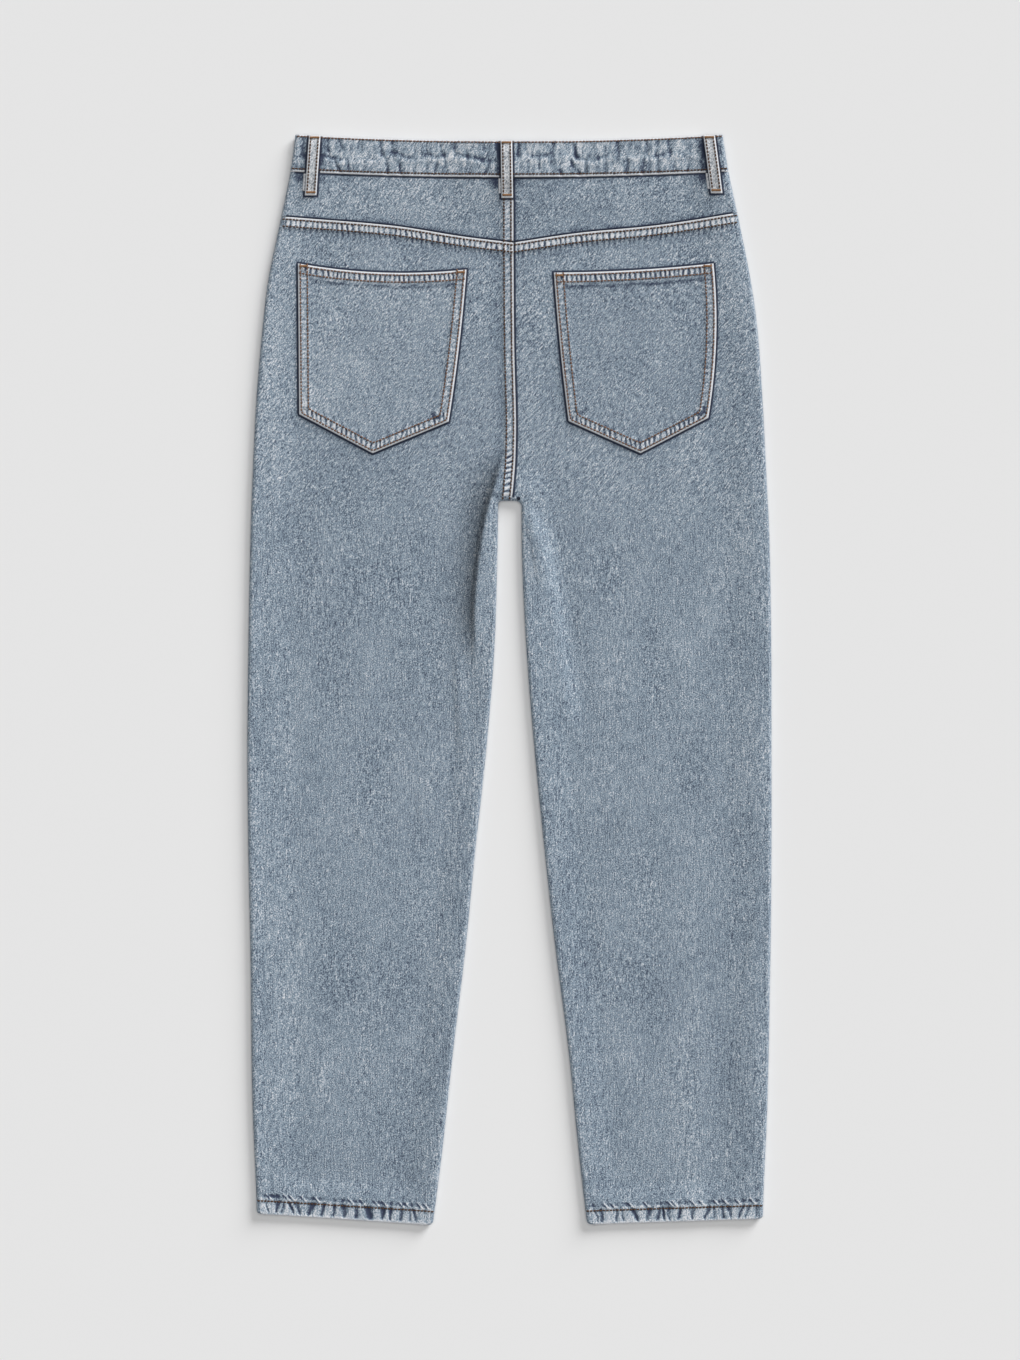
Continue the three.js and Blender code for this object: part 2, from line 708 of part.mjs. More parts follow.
// A belt loop on the back: on the yoke, over the waistband, and back to the band's top edge
function backLoop(cut) {
  const topY = bandTop(cut.topX);
  const half = LOOP_WIDTH / 2;
  const rows = [];
  for (const { share, stand } of [...LOOP_PATH].reverse()) {
    const y = mix(cut.bottomY, topY, share);
    const centre = mix(cut.bottomX, cut.topX, share);
    const row = [-half, 0, half].map((across) => {
      const x = centre + across;
      const side = x < backSeam(y) ? SIDES.left : SIDES.right;
      const overBand = fade((bandSeam(x) - y) / LOOP_CLIMB);
      const yokeFace = backHeight(side, x, Math.min(y, bandSeam(x))) + FELLED;
      const under = mix(yokeFace, Math.max(yokeFace, bandHeight(x, y)), overBand);
      return [x, y, under + LAID_GAP + stand + LOOP_WALL];
    });
    rows.push(row);
  }
  return wall(rows, 1, () => LOOP_WALL);
}

// A belt loop on the front, flat between the band and the surface
function frontLoop(x) {
  const half = LOOP_WIDTH / 2;
  const length = frontBandTop(x) - bandSeam(x) - 2 * FRONT_LOOP_EDGE;
  const shape = new THREE.Shape();
  shape.moveTo(x - half, bandSeam(x) + FRONT_LOOP_EDGE);
  shape.lineTo(x + half, bandSeam(x) + FRONT_LOOP_EDGE);
  shape.lineTo(x + half, bandSeam(x) + FRONT_LOOP_EDGE + length);
  shape.lineTo(x - half, bandSeam(x) + FRONT_LOOP_EDGE + length);
  shape.closePath();
  return new THREE.ExtrudeGeometry(shape, { depth: FRONT_LOOP_WALL, bevelEnabled: false });
}

// The button's head, its face down
function waistButton() {
  const profile = [
    [0, 0],
    [BUTTON_RADIUS - BUTTON_EDGE, 0],
    [BUTTON_RADIUS, BUTTON_HEIGHT / 2],
    [BUTTON_RADIUS - BUTTON_EDGE / 2, BUTTON_HEIGHT],
    [0, BUTTON_HEIGHT],
  ];
  const points = profile.map(([radius, height]) => new THREE.Vector2(radius, height));
  const geometry = new THREE.LatheGeometry(points, BUTTON_SIDES);
  geometry.rotateX(Math.PI / 2);
  geometry.translate(FRONT_SEAM, mix(bandSeam(0), frontBandTop(0), 0.5), 0);
  return geometry;
}

for (const side of Object.values(SIDES)) {
  add(`back_panel_${side.name}`, backPanel(side), DENIM_FINISH);
  add(`yoke_${side.name}`, yoke(side), DENIM_FINISH);
  add(`front_panel_${side.name}`, frontPanel(side), DENIM_FINISH);
  add(`front_facing_${side.name}`, frontFacing(side), DENIM_FINISH);
}
for (const cut of POCKETS) {
  add(`back_pocket_${cut.side}`, pocket(cut), POCKET_FINISH);
}
add("waistband", waistband(), BAND_FINISH);
for (const cut of BACK_LOOPS) {
  add(`belt_loop_${cut.name}`, backLoop(cut), LOOP_FINISH);
}
for (const cut of FRONT_LOOPS) {
  add(`belt_loop_front_${cut.name}`, frontLoop(cut.x), LOOP_FINISH);
}
add("waist_button", waistButton(), METAL_FINISH);

export default group;
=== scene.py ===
import math

import bpy
import numpy as np
from bpy.props import FloatProperty, FloatVectorProperty, PointerProperty
from bpy.types import Operator, Panel, PropertyGroup
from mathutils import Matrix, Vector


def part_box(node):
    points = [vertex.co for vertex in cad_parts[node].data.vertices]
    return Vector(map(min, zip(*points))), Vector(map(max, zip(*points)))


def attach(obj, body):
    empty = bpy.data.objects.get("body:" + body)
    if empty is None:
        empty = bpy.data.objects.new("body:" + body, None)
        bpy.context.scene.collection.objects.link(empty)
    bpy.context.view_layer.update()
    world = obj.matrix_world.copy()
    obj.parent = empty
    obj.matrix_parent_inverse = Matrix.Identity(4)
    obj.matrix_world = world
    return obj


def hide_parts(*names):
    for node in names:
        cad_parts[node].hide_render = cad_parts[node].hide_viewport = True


bl_info = {
    "name": "Loose Fit Jeans, Laid Flat",
    "version": (1, 0, 0),
    "blender": (4, 5, 0),
    "location": "View3D > Sidebar > Jeans",
    "description": "Makes the washed denim, sewing and stage of jeans that lie face down",
    "category": "Object",
}

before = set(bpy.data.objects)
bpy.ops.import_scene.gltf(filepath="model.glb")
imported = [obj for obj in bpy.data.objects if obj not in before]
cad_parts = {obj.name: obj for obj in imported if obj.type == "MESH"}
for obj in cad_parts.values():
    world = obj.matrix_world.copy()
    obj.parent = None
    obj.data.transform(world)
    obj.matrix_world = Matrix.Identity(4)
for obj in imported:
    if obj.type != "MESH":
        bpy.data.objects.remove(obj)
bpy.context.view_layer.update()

# Sizes are in millimetres, in the frame of the solids: +X the wearer's right, +Y the waist, +Z up
MM = 0.001

# Cloth
SEAM_GAP = 0.3
LAID_GAP = 0.35
HEM_WALL = 2.6
BAND_WALL = 2.0
POCKET_WALL = 1.2
LOOP_WALL = 1.6
FRONT_LOOP_WALL = 1.0
FELLED = 0.7
FELLED_WIDTH = 9.6
FELLED_SLOPE = 1.4

# Side folds
FOLD_HEIGHT = 6.4
FOLD_RADIUS = FOLD_HEIGHT / 2
FOLD_STEPS = 9
FLAP_STEPS = 2
WRAP = 14.0
OUTER_SAG = 46.0
INNER_SAG = 34.0

CROTCH = 171.8
HEM_WIDTH = 14.0
HEM_LIE = 5.8
HEM_FADE = 28.0
HEM_CORNER = 4.5
HEM_ROUNDING = 1.25
HEM_STEP = 0.6  # over which the wall grows to the hem's

# Distances of places that have no hem, seam or edge near them
NO_HEM = 99.0
FAR = 50.0


def table(columns, *rows):
    """A short table with named columns."""
    return {name: np.array(values, float) for name, values in zip(columns.split(), zip(*rows))}


OUTER_FOLDS = table(
    "y left right",
    (-523.2, -242.4, 243.0),
    (-494.4, -242.9, 243.8),
    (-403.2, -246.7, 247.7),
    (-259.2, -248.6, 250.6),
    (-163.2, -250.6, 251.5),
    (-67.2, -251.5, 251.5),
    (28.8, -250.6, 251.3),
    (134.4, -248.6, 249.6),
    (192.0, -246.7, 246.9),
    (268.8, -242.9, 242.9),
    (336.0, -237.1, 238.1),
    (384.0, -231.4, 231.4),
    (444.5, -218.9, 219.4),
    (487.7, -210.2, 210.2),
    (523.2, -205.3, 204.5),
)
INNER_FOLDS = table(
    "y left right",
    (-523.2, -73.5, 74.5),
    (-451.2, -64.3, 66.2),
    (-355.2, -53.8, 56.6),
    (-259.2, -42.2, 44.2),
    (-163.2, -32.6, 33.6),
    (-67.2, -22.1, 24.0),
    (28.8, -14.4, 16.3),
    (115.2, -11.6, 12.0),
    (171.8, -10.6, 11.5),
)
LIE = table("y height", (-524, 3.4), (0, 3.3), (300, 3.5), (430, 4.1), (490, 5.0))
YOKE_SEAM = {
    "left": table("x y", (-224, 444.9), (-112.5, 435.8), (-44.2, 425.3), (3.8, 419.5)),
    "right": table("x y", (3.8, 419.5), (65.6, 428.7), (143.6, 436.4), (224, 448.8)),
}

BACK_SEAM = table(
    "y x",
    (171.8, 2.4), (189, 4), (212, 5.7), (250, 6.3), (316, 4.7), (385, 4.1), (487.7, 3.8),
)

# Waistband
BAND_HALF = 210.0
BAND_SEAM = 482.2
BAND_SIDE_RISE = 5.5
BAND_TOP = 516.9
BAND_TOP_RISE = 6.2
FRONT_DROP = 1.0
BAND_BASE = 1.3
BAND_FOLD = 3.0
BAND_LIE = 6.0
BAND_SAG = 30.0
LAP = 22.0
LAP_RAMP = 36.0
LAP_CLEAR = 3.0
BUTTON_LIFT = 0.6
HUMP = 2.5
HUMP_FLAT = 28.0
HUMP_END = 70.0
YOKE_HUMP = 1.5
YOKE_HUMP_LENGTH = 60.0

# Front pocket openings
SCOOP_WIDTH = 85.0
SCOOP_DEPTH = 78.0
SCOOP_STEPS = 28
SCOOP_SHARE = 0.35

GAP_START_OUTER = 222.0
GAP_END_OUTER = 176.0

# Painted shade round the fold at a leg's right, which faces the key light, and at its left
RIGHT_FOLD_PAINTED_SHADE = 1.1
LEFT_FOLD_PAINTED_SHADE = 0.1

# The two sides: the way to the middle, the gap's corner, the hem's ends, whether the centre seam
# laps onto this side, the painted shade on its folds, its extra wear, and the seeds of its uneven wash
SIDES = {
    "left": {
        "name": "left", "to_middle": 1, "corner": 4.0, "hem_outer": -512.6, "hem_inner": -523.2,
        "lap": 1.0, "outer_dye": LEFT_FOLD_PAINTED_SHADE, "inner_dye": RIGHT_FOLD_PAINTED_SHADE,
        "leg_wear": 0.2, "yoke_wear": 0.14,
        "back_seed": 11, "yoke_seed": 21, "pocket_seed": 81,
    },
    "right": {
        "name": "right", "to_middle": -1, "corner": 6.0, "hem_outer": -517.4, "hem_inner": -522.7,
        "lap": 0.0, "outer_dye": RIGHT_FOLD_PAINTED_SHADE, "inner_dye": LEFT_FOLD_PAINTED_SHADE,
        "leg_wear": 0.0, "yoke_wear": -0.06,
        "back_seed": 61, "yoke_seed": 71, "pocket_seed": 91,
    },
}

# Large folds of the cloth: where each runs, its height, how far it reaches to its left and right,
# and the painted shade and painted highlight beside its line
FOLDS = (
    {
        "side": "left",
        "line": table(
            "y x",
            (0, -32), (22, -33.5), (38, -33.9), (67, -34), (96, -32.2), (125, -28.8), (154, -24),
            (179, -17.3), (198, -11.5), (228, -3),
        ),
        "height": 1.7, "left": 3.4, "right": 17, "ends": (70, 40),
        "painted_shade": 1.4, "painted_shade_width": 20, "pale": 0.12, "highlight_at": 4, "highlight_width": 4,
    },
    {
        "side": "left",
        "line": table("y x", (-90, -45), (-20, -50), (40, -52)),
        "height": 0.5, "left": 5, "right": 11, "ends": (50, 30),
        "painted_shade": 0.35, "painted_shade_width": 7, "pale": 0.1, "highlight_at": 7, "highlight_width": 6,
    },
    {
        "side": "right",
        "line": table(
            "y x", (-70, 67), (-20, 57.5), (19, 51.5), (57, 47), (96, 40), (134, 31.5), (170, 15),
        ),
        "height": 1.0, "left": 13, "right": 14, "ends": (60, 12),
        "painted_shade": 0.0, "painted_shade_width": 8, "pale": 0.55, "highlight_at": 0, "highlight_width": 8,
    },
    {
        "side": "right",
        "line": table("y x", (70, 30), (100, 26), (130, 20.5), (158, 13)),
        "height": -0.5, "left": 5, "right": 6, "ends": (45, 8),
        "painted_shade": 0.7, "painted_shade_width": 5, "pale": 0, "highlight_at": 0, "highlight_width": 5,
    },
)
# Short creases of the legs: middle, length, lean, and how pale they are rubbed
CREASES = (
    {"x": -141, "y": -150, "length": 26, "lean": 0.35, "pale": 0.5},
    {"x": -128, "y": -158, "length": 20, "lean": 0.5, "pale": 0.35},
    {"x": -84, "y": -120, "length": 34, "lean": 0.1, "pale": 0.3},
    {"x": 108, "y": -145, "length": 34, "lean": -0.45, "pale": 0.5},
    {"x": 96, "y": -118, "length": 24, "lean": -0.3, "pale": 0.35},
    {"x": 232, "y": -260, "length": 46, "lean": -0.18, "pale": 0.4},
    {"x": 70, "y": 60, "length": 18, "lean": -0.35, "pale": 0.6},
)
# End of the inner seams' thread at the top of the gap between the legs
GAP_KNOT = (8.8, 174.2)

# Valleys that the stitching draws into the hems: place, half width, depth
HEM_VALLEYS = table(
    "x width depth",
    (-232.1, 1.0, 0.8), (-222.7, 1.6, 1.3), (-217.0, 1.4, 0.8), (-209.2, 1.6, 1.0), (-202.3, 2.6, 0.8),
    (-191.0, 3.6, 1.1), (-179.8, 2.2, 1.0), (-168.7, 1.8, 1.0), (-159.0, 2.8, 1.1), (-146.8, 2.3, 1.3),
    (-134.5, 3.9, 1.2), (-121.7, 2.1, 1.2), (-114.2, 1.7, 1.2), (-103.7, 2.4, 0.9), (-95.6, 1.1, 1.2),
    (-90.8, 1.5, 1.4), (-80.6, 1.5, 0.6),
    (84.0, 1.0, 0.7), (88.3, 1.3, 1.3), (102.8, 1.5, 1.0), (109.2, 1.5, 0.6), (121.0, 2.4, 1.1),
    (132.7, 2.4, 0.8), (142.8, 1.9, 0.8), (148.2, 1.2, 1.7), (153.5, 2.0, 0.9), (162.6, 1.9, 1.1),
    (175.9, 1.7, 1.1), (189.2, 1.9, 1.1), (196.2, 1.7, 0.9), (204.7, 1.7, 1.2), (211.6, 1.6, 0.9),
    (221.8, 1.5, 1.4), (228.2, 1.6, 0.9), (237.5, 2.6, 0.9),
)
# Short raised threads of cloth above the hems' stitching
HEM_THREADS = (
    -231, -214, -209, -198, -185, -152, -141, -128, -120, -104, -98, -86, -80,
    92, 99, 116, 131, 154, 158, 176, 184, 198, 207, 219, 233,
)
# Valleys of the waistband, from its top edge and from its seam: place, lean, half width, depth
BAND_TOP_VALLEYS = table(
    "x lean width depth",
    (-199, 0.1, 2.2, 0.8), (-176.6, 0.15, 2.4, 1.3), (-162.7, 0, 1.6, 0.4), (-143.2, 0, 1.8, 0.6),
    (-124.8, 0.2, 2.3, 1.0), (-112.2, 0, 1.9, 1.0), (-90.7, 0.05, 1.6, 0.5), (-79.4, -0.05, 1.8, 0.7),
    (-69, 0.45, 1.9, 1.1), (-52.9, 0, 1.8, 0.5), (-42.8, 0.1, 1.8, 0.5), (-22.5, -0.25, 2.0, 1.1),
    (-17.5, -0.4, 1.3, 0.8), (-11.2, 0, 2.3, 1.4), (8, 0, 1.8, 0.8), (15.4, 0, 1.5, 0.4),
    (40.6, 0.1, 2.1, 1.0), (59.6, 0.3, 2.2, 1.0), (79.1, -0.05, 1.8, 0.7), (103.8, 0, 2.1, 1.0),
    (130.3, 0.2, 1.8, 0.7), (141.7, 0, 2.0, 1.0), (153, 0.05, 2.0, 1.0), (166.9, 0.1, 1.8, 0.6),
    (180.8, 0.35, 2.4, 1.3), (203, 0, 2.0, 0.8),
)
BAND_LOW_VALLEYS = table(
    "x lean width depth",
    (-205, 0, 1.8, 0.6), (-182, 0.1, 1.6, 0.6), (-162, -0.55, 2.2, 1.0), (-153.9, 0, 1.6, 0.5),
    (-133, 0.1, 1.6, 0.5), (-116.5, -0.15, 2.0, 1.0), (-102.7, -0.1, 2.0, 1.1), (-90.7, 0, 1.6, 0.5),
    (-80.6, 0.1, 1.9, 1.0), (-71.8, 0.15, 2.2, 1.0), (-60.4, 0, 1.6, 0.5), (-38, 0, 1.6, 0.4),
    (-24.5, 0.35, 2.0, 1.1), (-12.4, 0.1, 2.0, 1.0), (10, 0, 1.8, 0.6), (19.8, 0, 1.4, 0.4),
    (29.3, 0, 1.5, 0.5), (40.6, -0.1, 2.0, 0.8), (51.2, -0.2, 2.0, 1.0), (67.5, -0.45, 3.0, 1.3),
    (72.2, 0, 1.8, 0.8), (91.1, 0.05, 1.8, 0.7), (100, -0.1, 1.8, 0.7), (112.6, 0, 2.1, 1.0),
    (129, 0, 2.2, 1.2), (135.4, -0.1, 1.6, 0.8), (142.9, 0.05, 2.0, 1.0), (158.1, 0, 1.7, 0.6),
    (170.7, 0, 1.8, 0.7), (185.9, -0.1, 2.0, 1.1), (206, 0, 1.8, 0.7),
)
# Where the cloth curls up at the pockets' lower corners: the arc's middle, radius and shade, and
# the way that it is open to, in degrees from the right
POCKET_CURLS = (
    {"x": -69.4, "y": 255.6, "radius": 4.4, "shade": 1.9, "turn": 75},
    {"x": 68.4, "y": 261.4, "radius": 5.2, "shade": 0.9, "turn": 95},
    {"x": 182.4, "y": 259.4, "radius": 4.6, "shade": 2.4, "turn": 135},
)
POCKET_LIFT = 0.15

POCKETS = (
    {
        "side": "left",
        "top_left": (-202.9, 399.6),
        "top_right": (-41.1, 393.8),
        "bottom_left": (-201.8, 254.9),
        "bottom_right": (-58.3, 247.7),
        "tip": (-131.2, 217.4),
        "top_dip": -5.8,
        "left_bulge": 0.0,
        "right_bulge": 1.5,
        "dye": 0.0,
    },
    {
        "side": "right",
        "top_left": (42.5, 390.8),
        "top_right": (195.7, 399.6),
        "bottom_left": (56.6, 248.3),
        "bottom_right": (190.7, 251.2),
        "tip": (125.7, 217.4),
        "top_dip": -2.0,
        "left_bulge": -1.0,
        "right_bulge": 5.0,
        "dye": 0.16,
    },
)

LOOP_WIDTH = 11.4
LOOP_CLIMB = 12.0
# The loop's turned end, beside it: from its lower end, from the waistband, width and wall
LOOP_FOLD_START = 4.5
LOOP_FOLD_END = 1.2
LOOP_FOLD_WIDTH = 2.1
LOOP_FOLD_WALL = 0.9
BACK_LOOPS = (
    {"name": "left", "top_x": -186.6, "bottom_x": -190.6, "bottom_y": 464.6},
    {"name": "centre", "top_x": -2.9, "bottom_x": -2.1, "bottom_y": 462.1},
    {"name": "right", "top_x": 191.4, "bottom_x": 198.7, "bottom_y": 466.6},
)
LOOP_PATH = table(
    "share stand",
    (0, 0), (0.1, 0), (0.3, 1.3), (0.45, 1.9), (0.68, 1.9), (0.86, 1.4), (0.95, 0.1), (1, 0),
)
FRONT_LOOPS = ({"name": "left", "x": -96.0}, {"name": "right", "x": 96.0})
FRONT_LOOP_EDGE = 1.5

# Sewing: distances of the rows of stitches from the edge that they hold
FIRST_ROW = 2.3
SECOND_ROW = 9.0
BAND_ROW = 2.9
BAND_TOP_ROW = 1.3
HEM_ROW = 13.4
LOOP_ROW = 2.1
FLY_WIDTH = 38.0
FLY_ROWS = 6.5
FLY_END = 305.0
FLY_TURN = 42.0
POCKET_HEM = 13.0

# Distances between the puckers that the sewing draws up
LADDER_PITCH = 5.1
POCKET_PITCH = 4.7
GAP_PITCH = 5.8
HEM_PITCH = 7.6

STITCH_SHARE = 0.84  # of a stitch's length that shows
# How high a thread's middle lies off the cloth, as a share of its thickness
STITCH_LIFT = 0.22
UNDER_STITCH_LIFT = -0.25
TACK_LIFT = 0.4
# How much higher the stitches of the loops and the knot lie
LOOP_STITCH_RISE = 0.1
KNOT_RISE = 0.2

TACK_SPACING = 0.62
TACK_STITCH = 2.0
TACK_LEAN = 0.12
TACK_THREAD = 0.85  # of the other threads' thickness
LOOP_TACK_SHORT = 2.6
LOOP_TACK_FROM_TOP = 1.6
LOOP_TACK_FROM_END = 3.0
POCKET_TACK = {"length": 7.0, "in": 5.2, "down": 2.6}

# The picture: its height on the cloth, and its middle to the right of the jeans', in metres
PICTURE_HEIGHT = 1.3056
PICTURE_SHIFT = 0.00056


def linear(code):
    """An sRGB hex colour as linear numbers."""
    parts = [int(code[i : i + 2], 16) / 255 for i in (1, 3, 5)]
    return tuple(p / 12.92 if p <= 0.04045 else ((p + 0.055) / 1.055) ** 2.4 for p in parts)


def fade(t):
    """1 at 0 and below, 0 at 1 and above, level at both ends."""
    s = np.clip(t, 0.0, 1.0)
    return (1 - s) * (1 - s) * (1 + 2 * s)


def mix(a, b, t):
    return a + (b - a) * t


def bell(t):
    return np.exp(-t * t)


def window(t, low, high, soft):
    """1 between low and high, falling to 0 over soft on each side."""
    return fade((low - t) / soft) * fade((t - high) / soft)


def along(rows, key, column, at):
    """A smooth curve through one column of a table, read at any number of places."""
    keys, values = rows[key], rows[column]
    slopes = np.empty(len(keys))
    slopes[1:-1] = (values[2:] - values[:-2]) / (keys[2:] - keys[:-2])
    slopes[0] = (values[1] - values[0]) / (keys[1] - keys[0])
    slopes[-1] = (values[-1] - values[-2]) / (keys[-1] - keys[-2])
    at = np.clip(at, keys[0], keys[-1])
    i = np.clip(np.searchsorted(keys, at, side="right") - 1, 0, len(keys) - 2)
    span = keys[i + 1] - keys[i]
    t = (at - keys[i]) / span
    bend = t * (1 - t) * span
    return mix(values[i + 1], values[i], fade(t)) + bend * ((1 - t) * slopes[i] - t * slopes[i + 1])


def noise(x, y, cell_x, cell_y, seed):
    """Smooth noise from -1 to 1 whose cells have the given size."""
    size = 128
    lattice = np.random.default_rng(seed).uniform(-1, 1, (size, size))
    u, v = np.broadcast_arrays(np.asarray(x) / cell_x, np.asarray(y) / cell_y)
    i, j = np.floor(u).astype(int), np.floor(v).astype(int)
    fu, fv = fade(u - i), fade(v - j)
    i0, j0, i1, j1 = i % size, j % size, (i + 1) % size, (j + 1) % size
    low = mix(lattice[i1, j0], lattice[i0, j0], fu)
    high = mix(lattice[i1, j1], lattice[i0, j1], fu)
    return mix(high, low, fv)


def ladder(s, across, pitch, seed):
    """Puckers along a row of sewing: wide high rungs and narrow valleys, of uneven width and depth."""
    shift = 0.4 * noise(s, 0, 4.2 * pitch, 1, seed) + 0.14 * noise(s, across, 1.7 * pitch, 14, seed + 1)
    depth = 0.72 + 0.34 * noise(s, across, 2.1 * pitch, 20, seed + 2)
    wave = np.cos(2 * math.pi * (s / pitch + shift))
    return (0.75 - 1.75 * ((1 - wave) / 2) ** 1.8) * depth


def valleys(rows, x, narrow, lean=0.0):
    """The deepest of a table's valleys at each place. narrow scales their widths."""
    deepest = np.zeros(np.shape(x))
    for number, middle in enumerate(rows["x"]):
        if "lean" in rows:
            middle = middle + rows["lean"][number] * lean
        one = rows["depth"][number] * bell((x - middle) / (rows["width"][number] * narrow))
        deepest = np.maximum(deepest, one)
    return deepest


def fold_place(side, folds, y, inward, hem_y):
    """A place on a fold, and the way from it into the cloth."""
    slope = (along(folds, "y", side["name"], y + 1) - along(folds, "y", side["name"], y - 1)) / 2
    length = math.hypot(1, slope)
    below_corner = max(0.0, HEM_CORNER - (y - hem_y))
    corner_in = HEM_CORNER - math.sqrt(HEM_CORNER**2 - min(HEM_CORNER, below_corner) ** 2)
    x = float(along(folds, "y", side["name"], y)) + inward * corner_in
    return {"x": x, "y": float(y), "nx": inward / length, "ny": -inward * float(slope) / length}


def outer_place(side, y):
    return fold_place(side, OUTER_FOLDS, y, side["to_middle"], side["hem_outer"])


def back_seam(y):
    return along(BACK_SEAM, "y", "x", y)


def inner_places(side, seam_x, leg_rows):
    """Places along the top of the gap between the legs, round its corner and down the leg."""
    top = CROTCH - side["corner"]
    fold_x = float(along(INNER_FOLDS, "y", side["name"], top))
    centre_x = fold_x + side["to_middle"] * side["corner"]
    straight = [mix(seam_x, centre_x, share) for share in (0, 0.2, 0.4, 0.6, 0.8)]
    turns = np.linspace(0, math.pi / 2, 9)
    edge = [{"x": x, "y": CROTCH, "nx": 0.0, "ny": 1.0} for x in straight]
    for turn in turns:
        nx, ny = -side["to_middle"] * math.sin(turn), math.cos(turn)
        x, y = centre_x + nx * side["corner"], top + ny * side["corner"]
        edge.append({"x": x, "y": y, "nx": nx, "ny": ny})
    for place, outer_y in zip(edge, np.linspace(GAP_START_OUTER, GAP_END_OUTER, len(edge))):
        place["outer_y"] = outer_y
    hem_start = 40.0
    inward = -side["to_middle"]
    for row in range(1, leg_rows):
        share = row / leg_rows * (0.55 + 0.45 * row / leg_rows)
        y = mix(top, side["hem_inner"] + hem_start, share)
        place = fold_place(side, INNER_FOLDS, y, inward, side["hem_inner"])
        edge.append({**place, "outer_y": mix(GAP_END_OUTER, side["hem_outer"] + hem_start, share)})
    above = [*np.arange(hem_start, HEM_WIDTH + 1, -1.5), HEM_WIDTH + 0.6, HEM_WIDTH]
    above += [*np.arange(HEM_WIDTH - 0.8, 1.4, -1.1), 1.2, 0.7, 0.3, 0.08, 0.0]
    for height in above:
        place = fold_place(side, INNER_FOLDS, side["hem_inner"] + height, inward, side["hem_inner"])
        edge.append({**place, "outer_y": side["hem_outer"] + height, "above_hem": height})
    return edge


def hem_edge(side, x):
    outer = along(OUTER_FOLDS, "y", side["name"], side["hem_outer"])
    inner = along(INNER_FOLDS, "y", side["name"], side["hem_inner"])
    return mix(side["hem_outer"], side["hem_inner"], (x - outer) / (inner - outer))


def crease_rise(side, x, y):
    """Height of the large folds and creases, the wear along them, and the painted shade and painted
    highlight beside them.
    """
    rise, worn, dusk = (np.zeros(np.shape(x)) for _ in range(3))
    for fold in (one for one in FOLDS if one["side"] == side["name"]):
        line = fold["line"]
        beside = (x - along(line, "y", "x", y)) * 0.94
        low, high = line["y"][0], line["y"][-1]
        start, stop = fold["ends"]
        ends = fade((low + start - y) / start) * fade((y - high + stop) / stop)
        reach = np.where(beside < 0, fold["left"], fold["right"])
        rise += fold["height"] * ends * fade(np.abs(beside) / reach)
        # Painted shade behind each fold, on its left away from the light, and a painted highlight
        # beside it
        behind = np.where(beside < 0, bell(beside / fold["painted_shade_width"]), bell(beside / 1.5))
        close = np.where(beside < 0, bell(beside / (0.35 * fold["painted_shade_width"])), bell(beside / 1.5))
        dusk += fold["painted_shade"] * ends * (0.7 * behind + 0.3 * close)
        dusk -= fold["pale"] * ends * bell((beside - fold["highlight_at"]) / fold["highlight_width"])
    for crease in CREASES:
        down = crease["y"] - y
        beside = x - crease["x"] - crease["lean"] * down
        strength = crease["pale"] * bell(down / (0.5 * crease["length"]))
        rise += 0.7 * strength * bell(beside / 3.2)
        worn += 0.7 * strength * bell(beside / 1.6)
        # Painted shade just to the left of each crease
        dusk += 0.4 * strength * bell((beside + 4) / 3.4)
    return rise, worn, dusk


def hump_across(x):
    return fade((np.abs(x) - HUMP_FLAT) / (HUMP_END - HUMP_FLAT))


def fold_distances(side, x, y):
    """How far points lie from the outer fold and from the gap between the legs."""
    from_outer = np.abs(x - along(OUTER_FOLDS, "y", side["name"], y))
    fold_x = along(INNER_FOLDS, "y", side["name"], np.minimum(y, CROTCH))
    beside = np.maximum(0, side["to_middle"] * (fold_x - x))
    return from_outer, np.hypot(beside, np.maximum(0, y - CROTCH))


def back_lie(side, x, y):
    """Height of the back's plain outer face between its folds."""
    from_outer, from_inner = fold_distances(side, x, y)
    hem = fade((y - hem_edge(side, x) - HEM_WIDTH) / HEM_FADE)
    lie = mix(along(LIE, "y", "height", y), HEM_LIE, np.where(y < 0, hem, 0))
    outer = fade((from_outer - FOLD_RADIUS) / OUTER_SAG)
    inner = fade((from_inner - FOLD_RADIUS) / INNER_SAG)
    swell = (FOLD_HEIGHT - lie) * np.minimum(1, outer + inner)
    hump = YOKE_HUMP * hump_across(x) * fade((band_seam(x) - y) / YOKE_HUMP_LENGTH)
    return lie + swell + hump


def yoke_seam(side, x):
    return along(YOKE_SEAM[side["name"]], "x", "y", x)


def band_seam(x):
    return BAND_SEAM + BAND_SIDE_RISE * (np.asarray(x) / BAND_HALF) ** 2


def band_top(x):
    return BAND_TOP + BAND_TOP_RISE * (np.asarray(x) / BAND_HALF) ** 2


def front_band_top(x):
    return band_top(x) - FRONT_DROP * np.maximum(0, 1 - (np.asarray(x) / BAND_HALF) ** 2)


def pocket_outline(cut):
    """Corners of a pocket's outline, its curved top and bowed sides as short stretches."""
    steps = np.linspace(0, 1, 9)
    bow = 4 * steps * (1 - steps)

    def bowed(start, end, bow_x, bow_y):
        first, last = np.array(cut[start]), np.array(cut[end])
        return first + (last - first) * steps[:, None] + np.stack([bow_x * bow, bow_y * bow], 1)

    top = bowed("top_left", "top_right", 0, cut["top_dip"])
    right = bowed("top_right", "bottom_right", cut["right_bulge"], 0)
    left = bowed("bottom_left", "top_left", cut["left_bulge"], 0)
    return np.concatenate([top[:-1], right, [cut["tip"]], left[:-1]])


def chain_distance(points, x, y):
    """Distance of places from a chain of points."""
    nearest = np.full(np.shape(x), 1e6)
    for (ax, ay), (bx, by) in zip(points[:-1], points[1:]):
        length2 = (bx - ax) ** 2 + (by - ay) ** 2
        t = np.clip(((x - ax) * (bx - ax) + (y - ay) * (by - ay)) / length2, 0, 1)
        nearest = np.minimum(nearest, np.hypot(x - ax - t * (bx - ax), y - ay - t * (by - ay)))
    return nearest


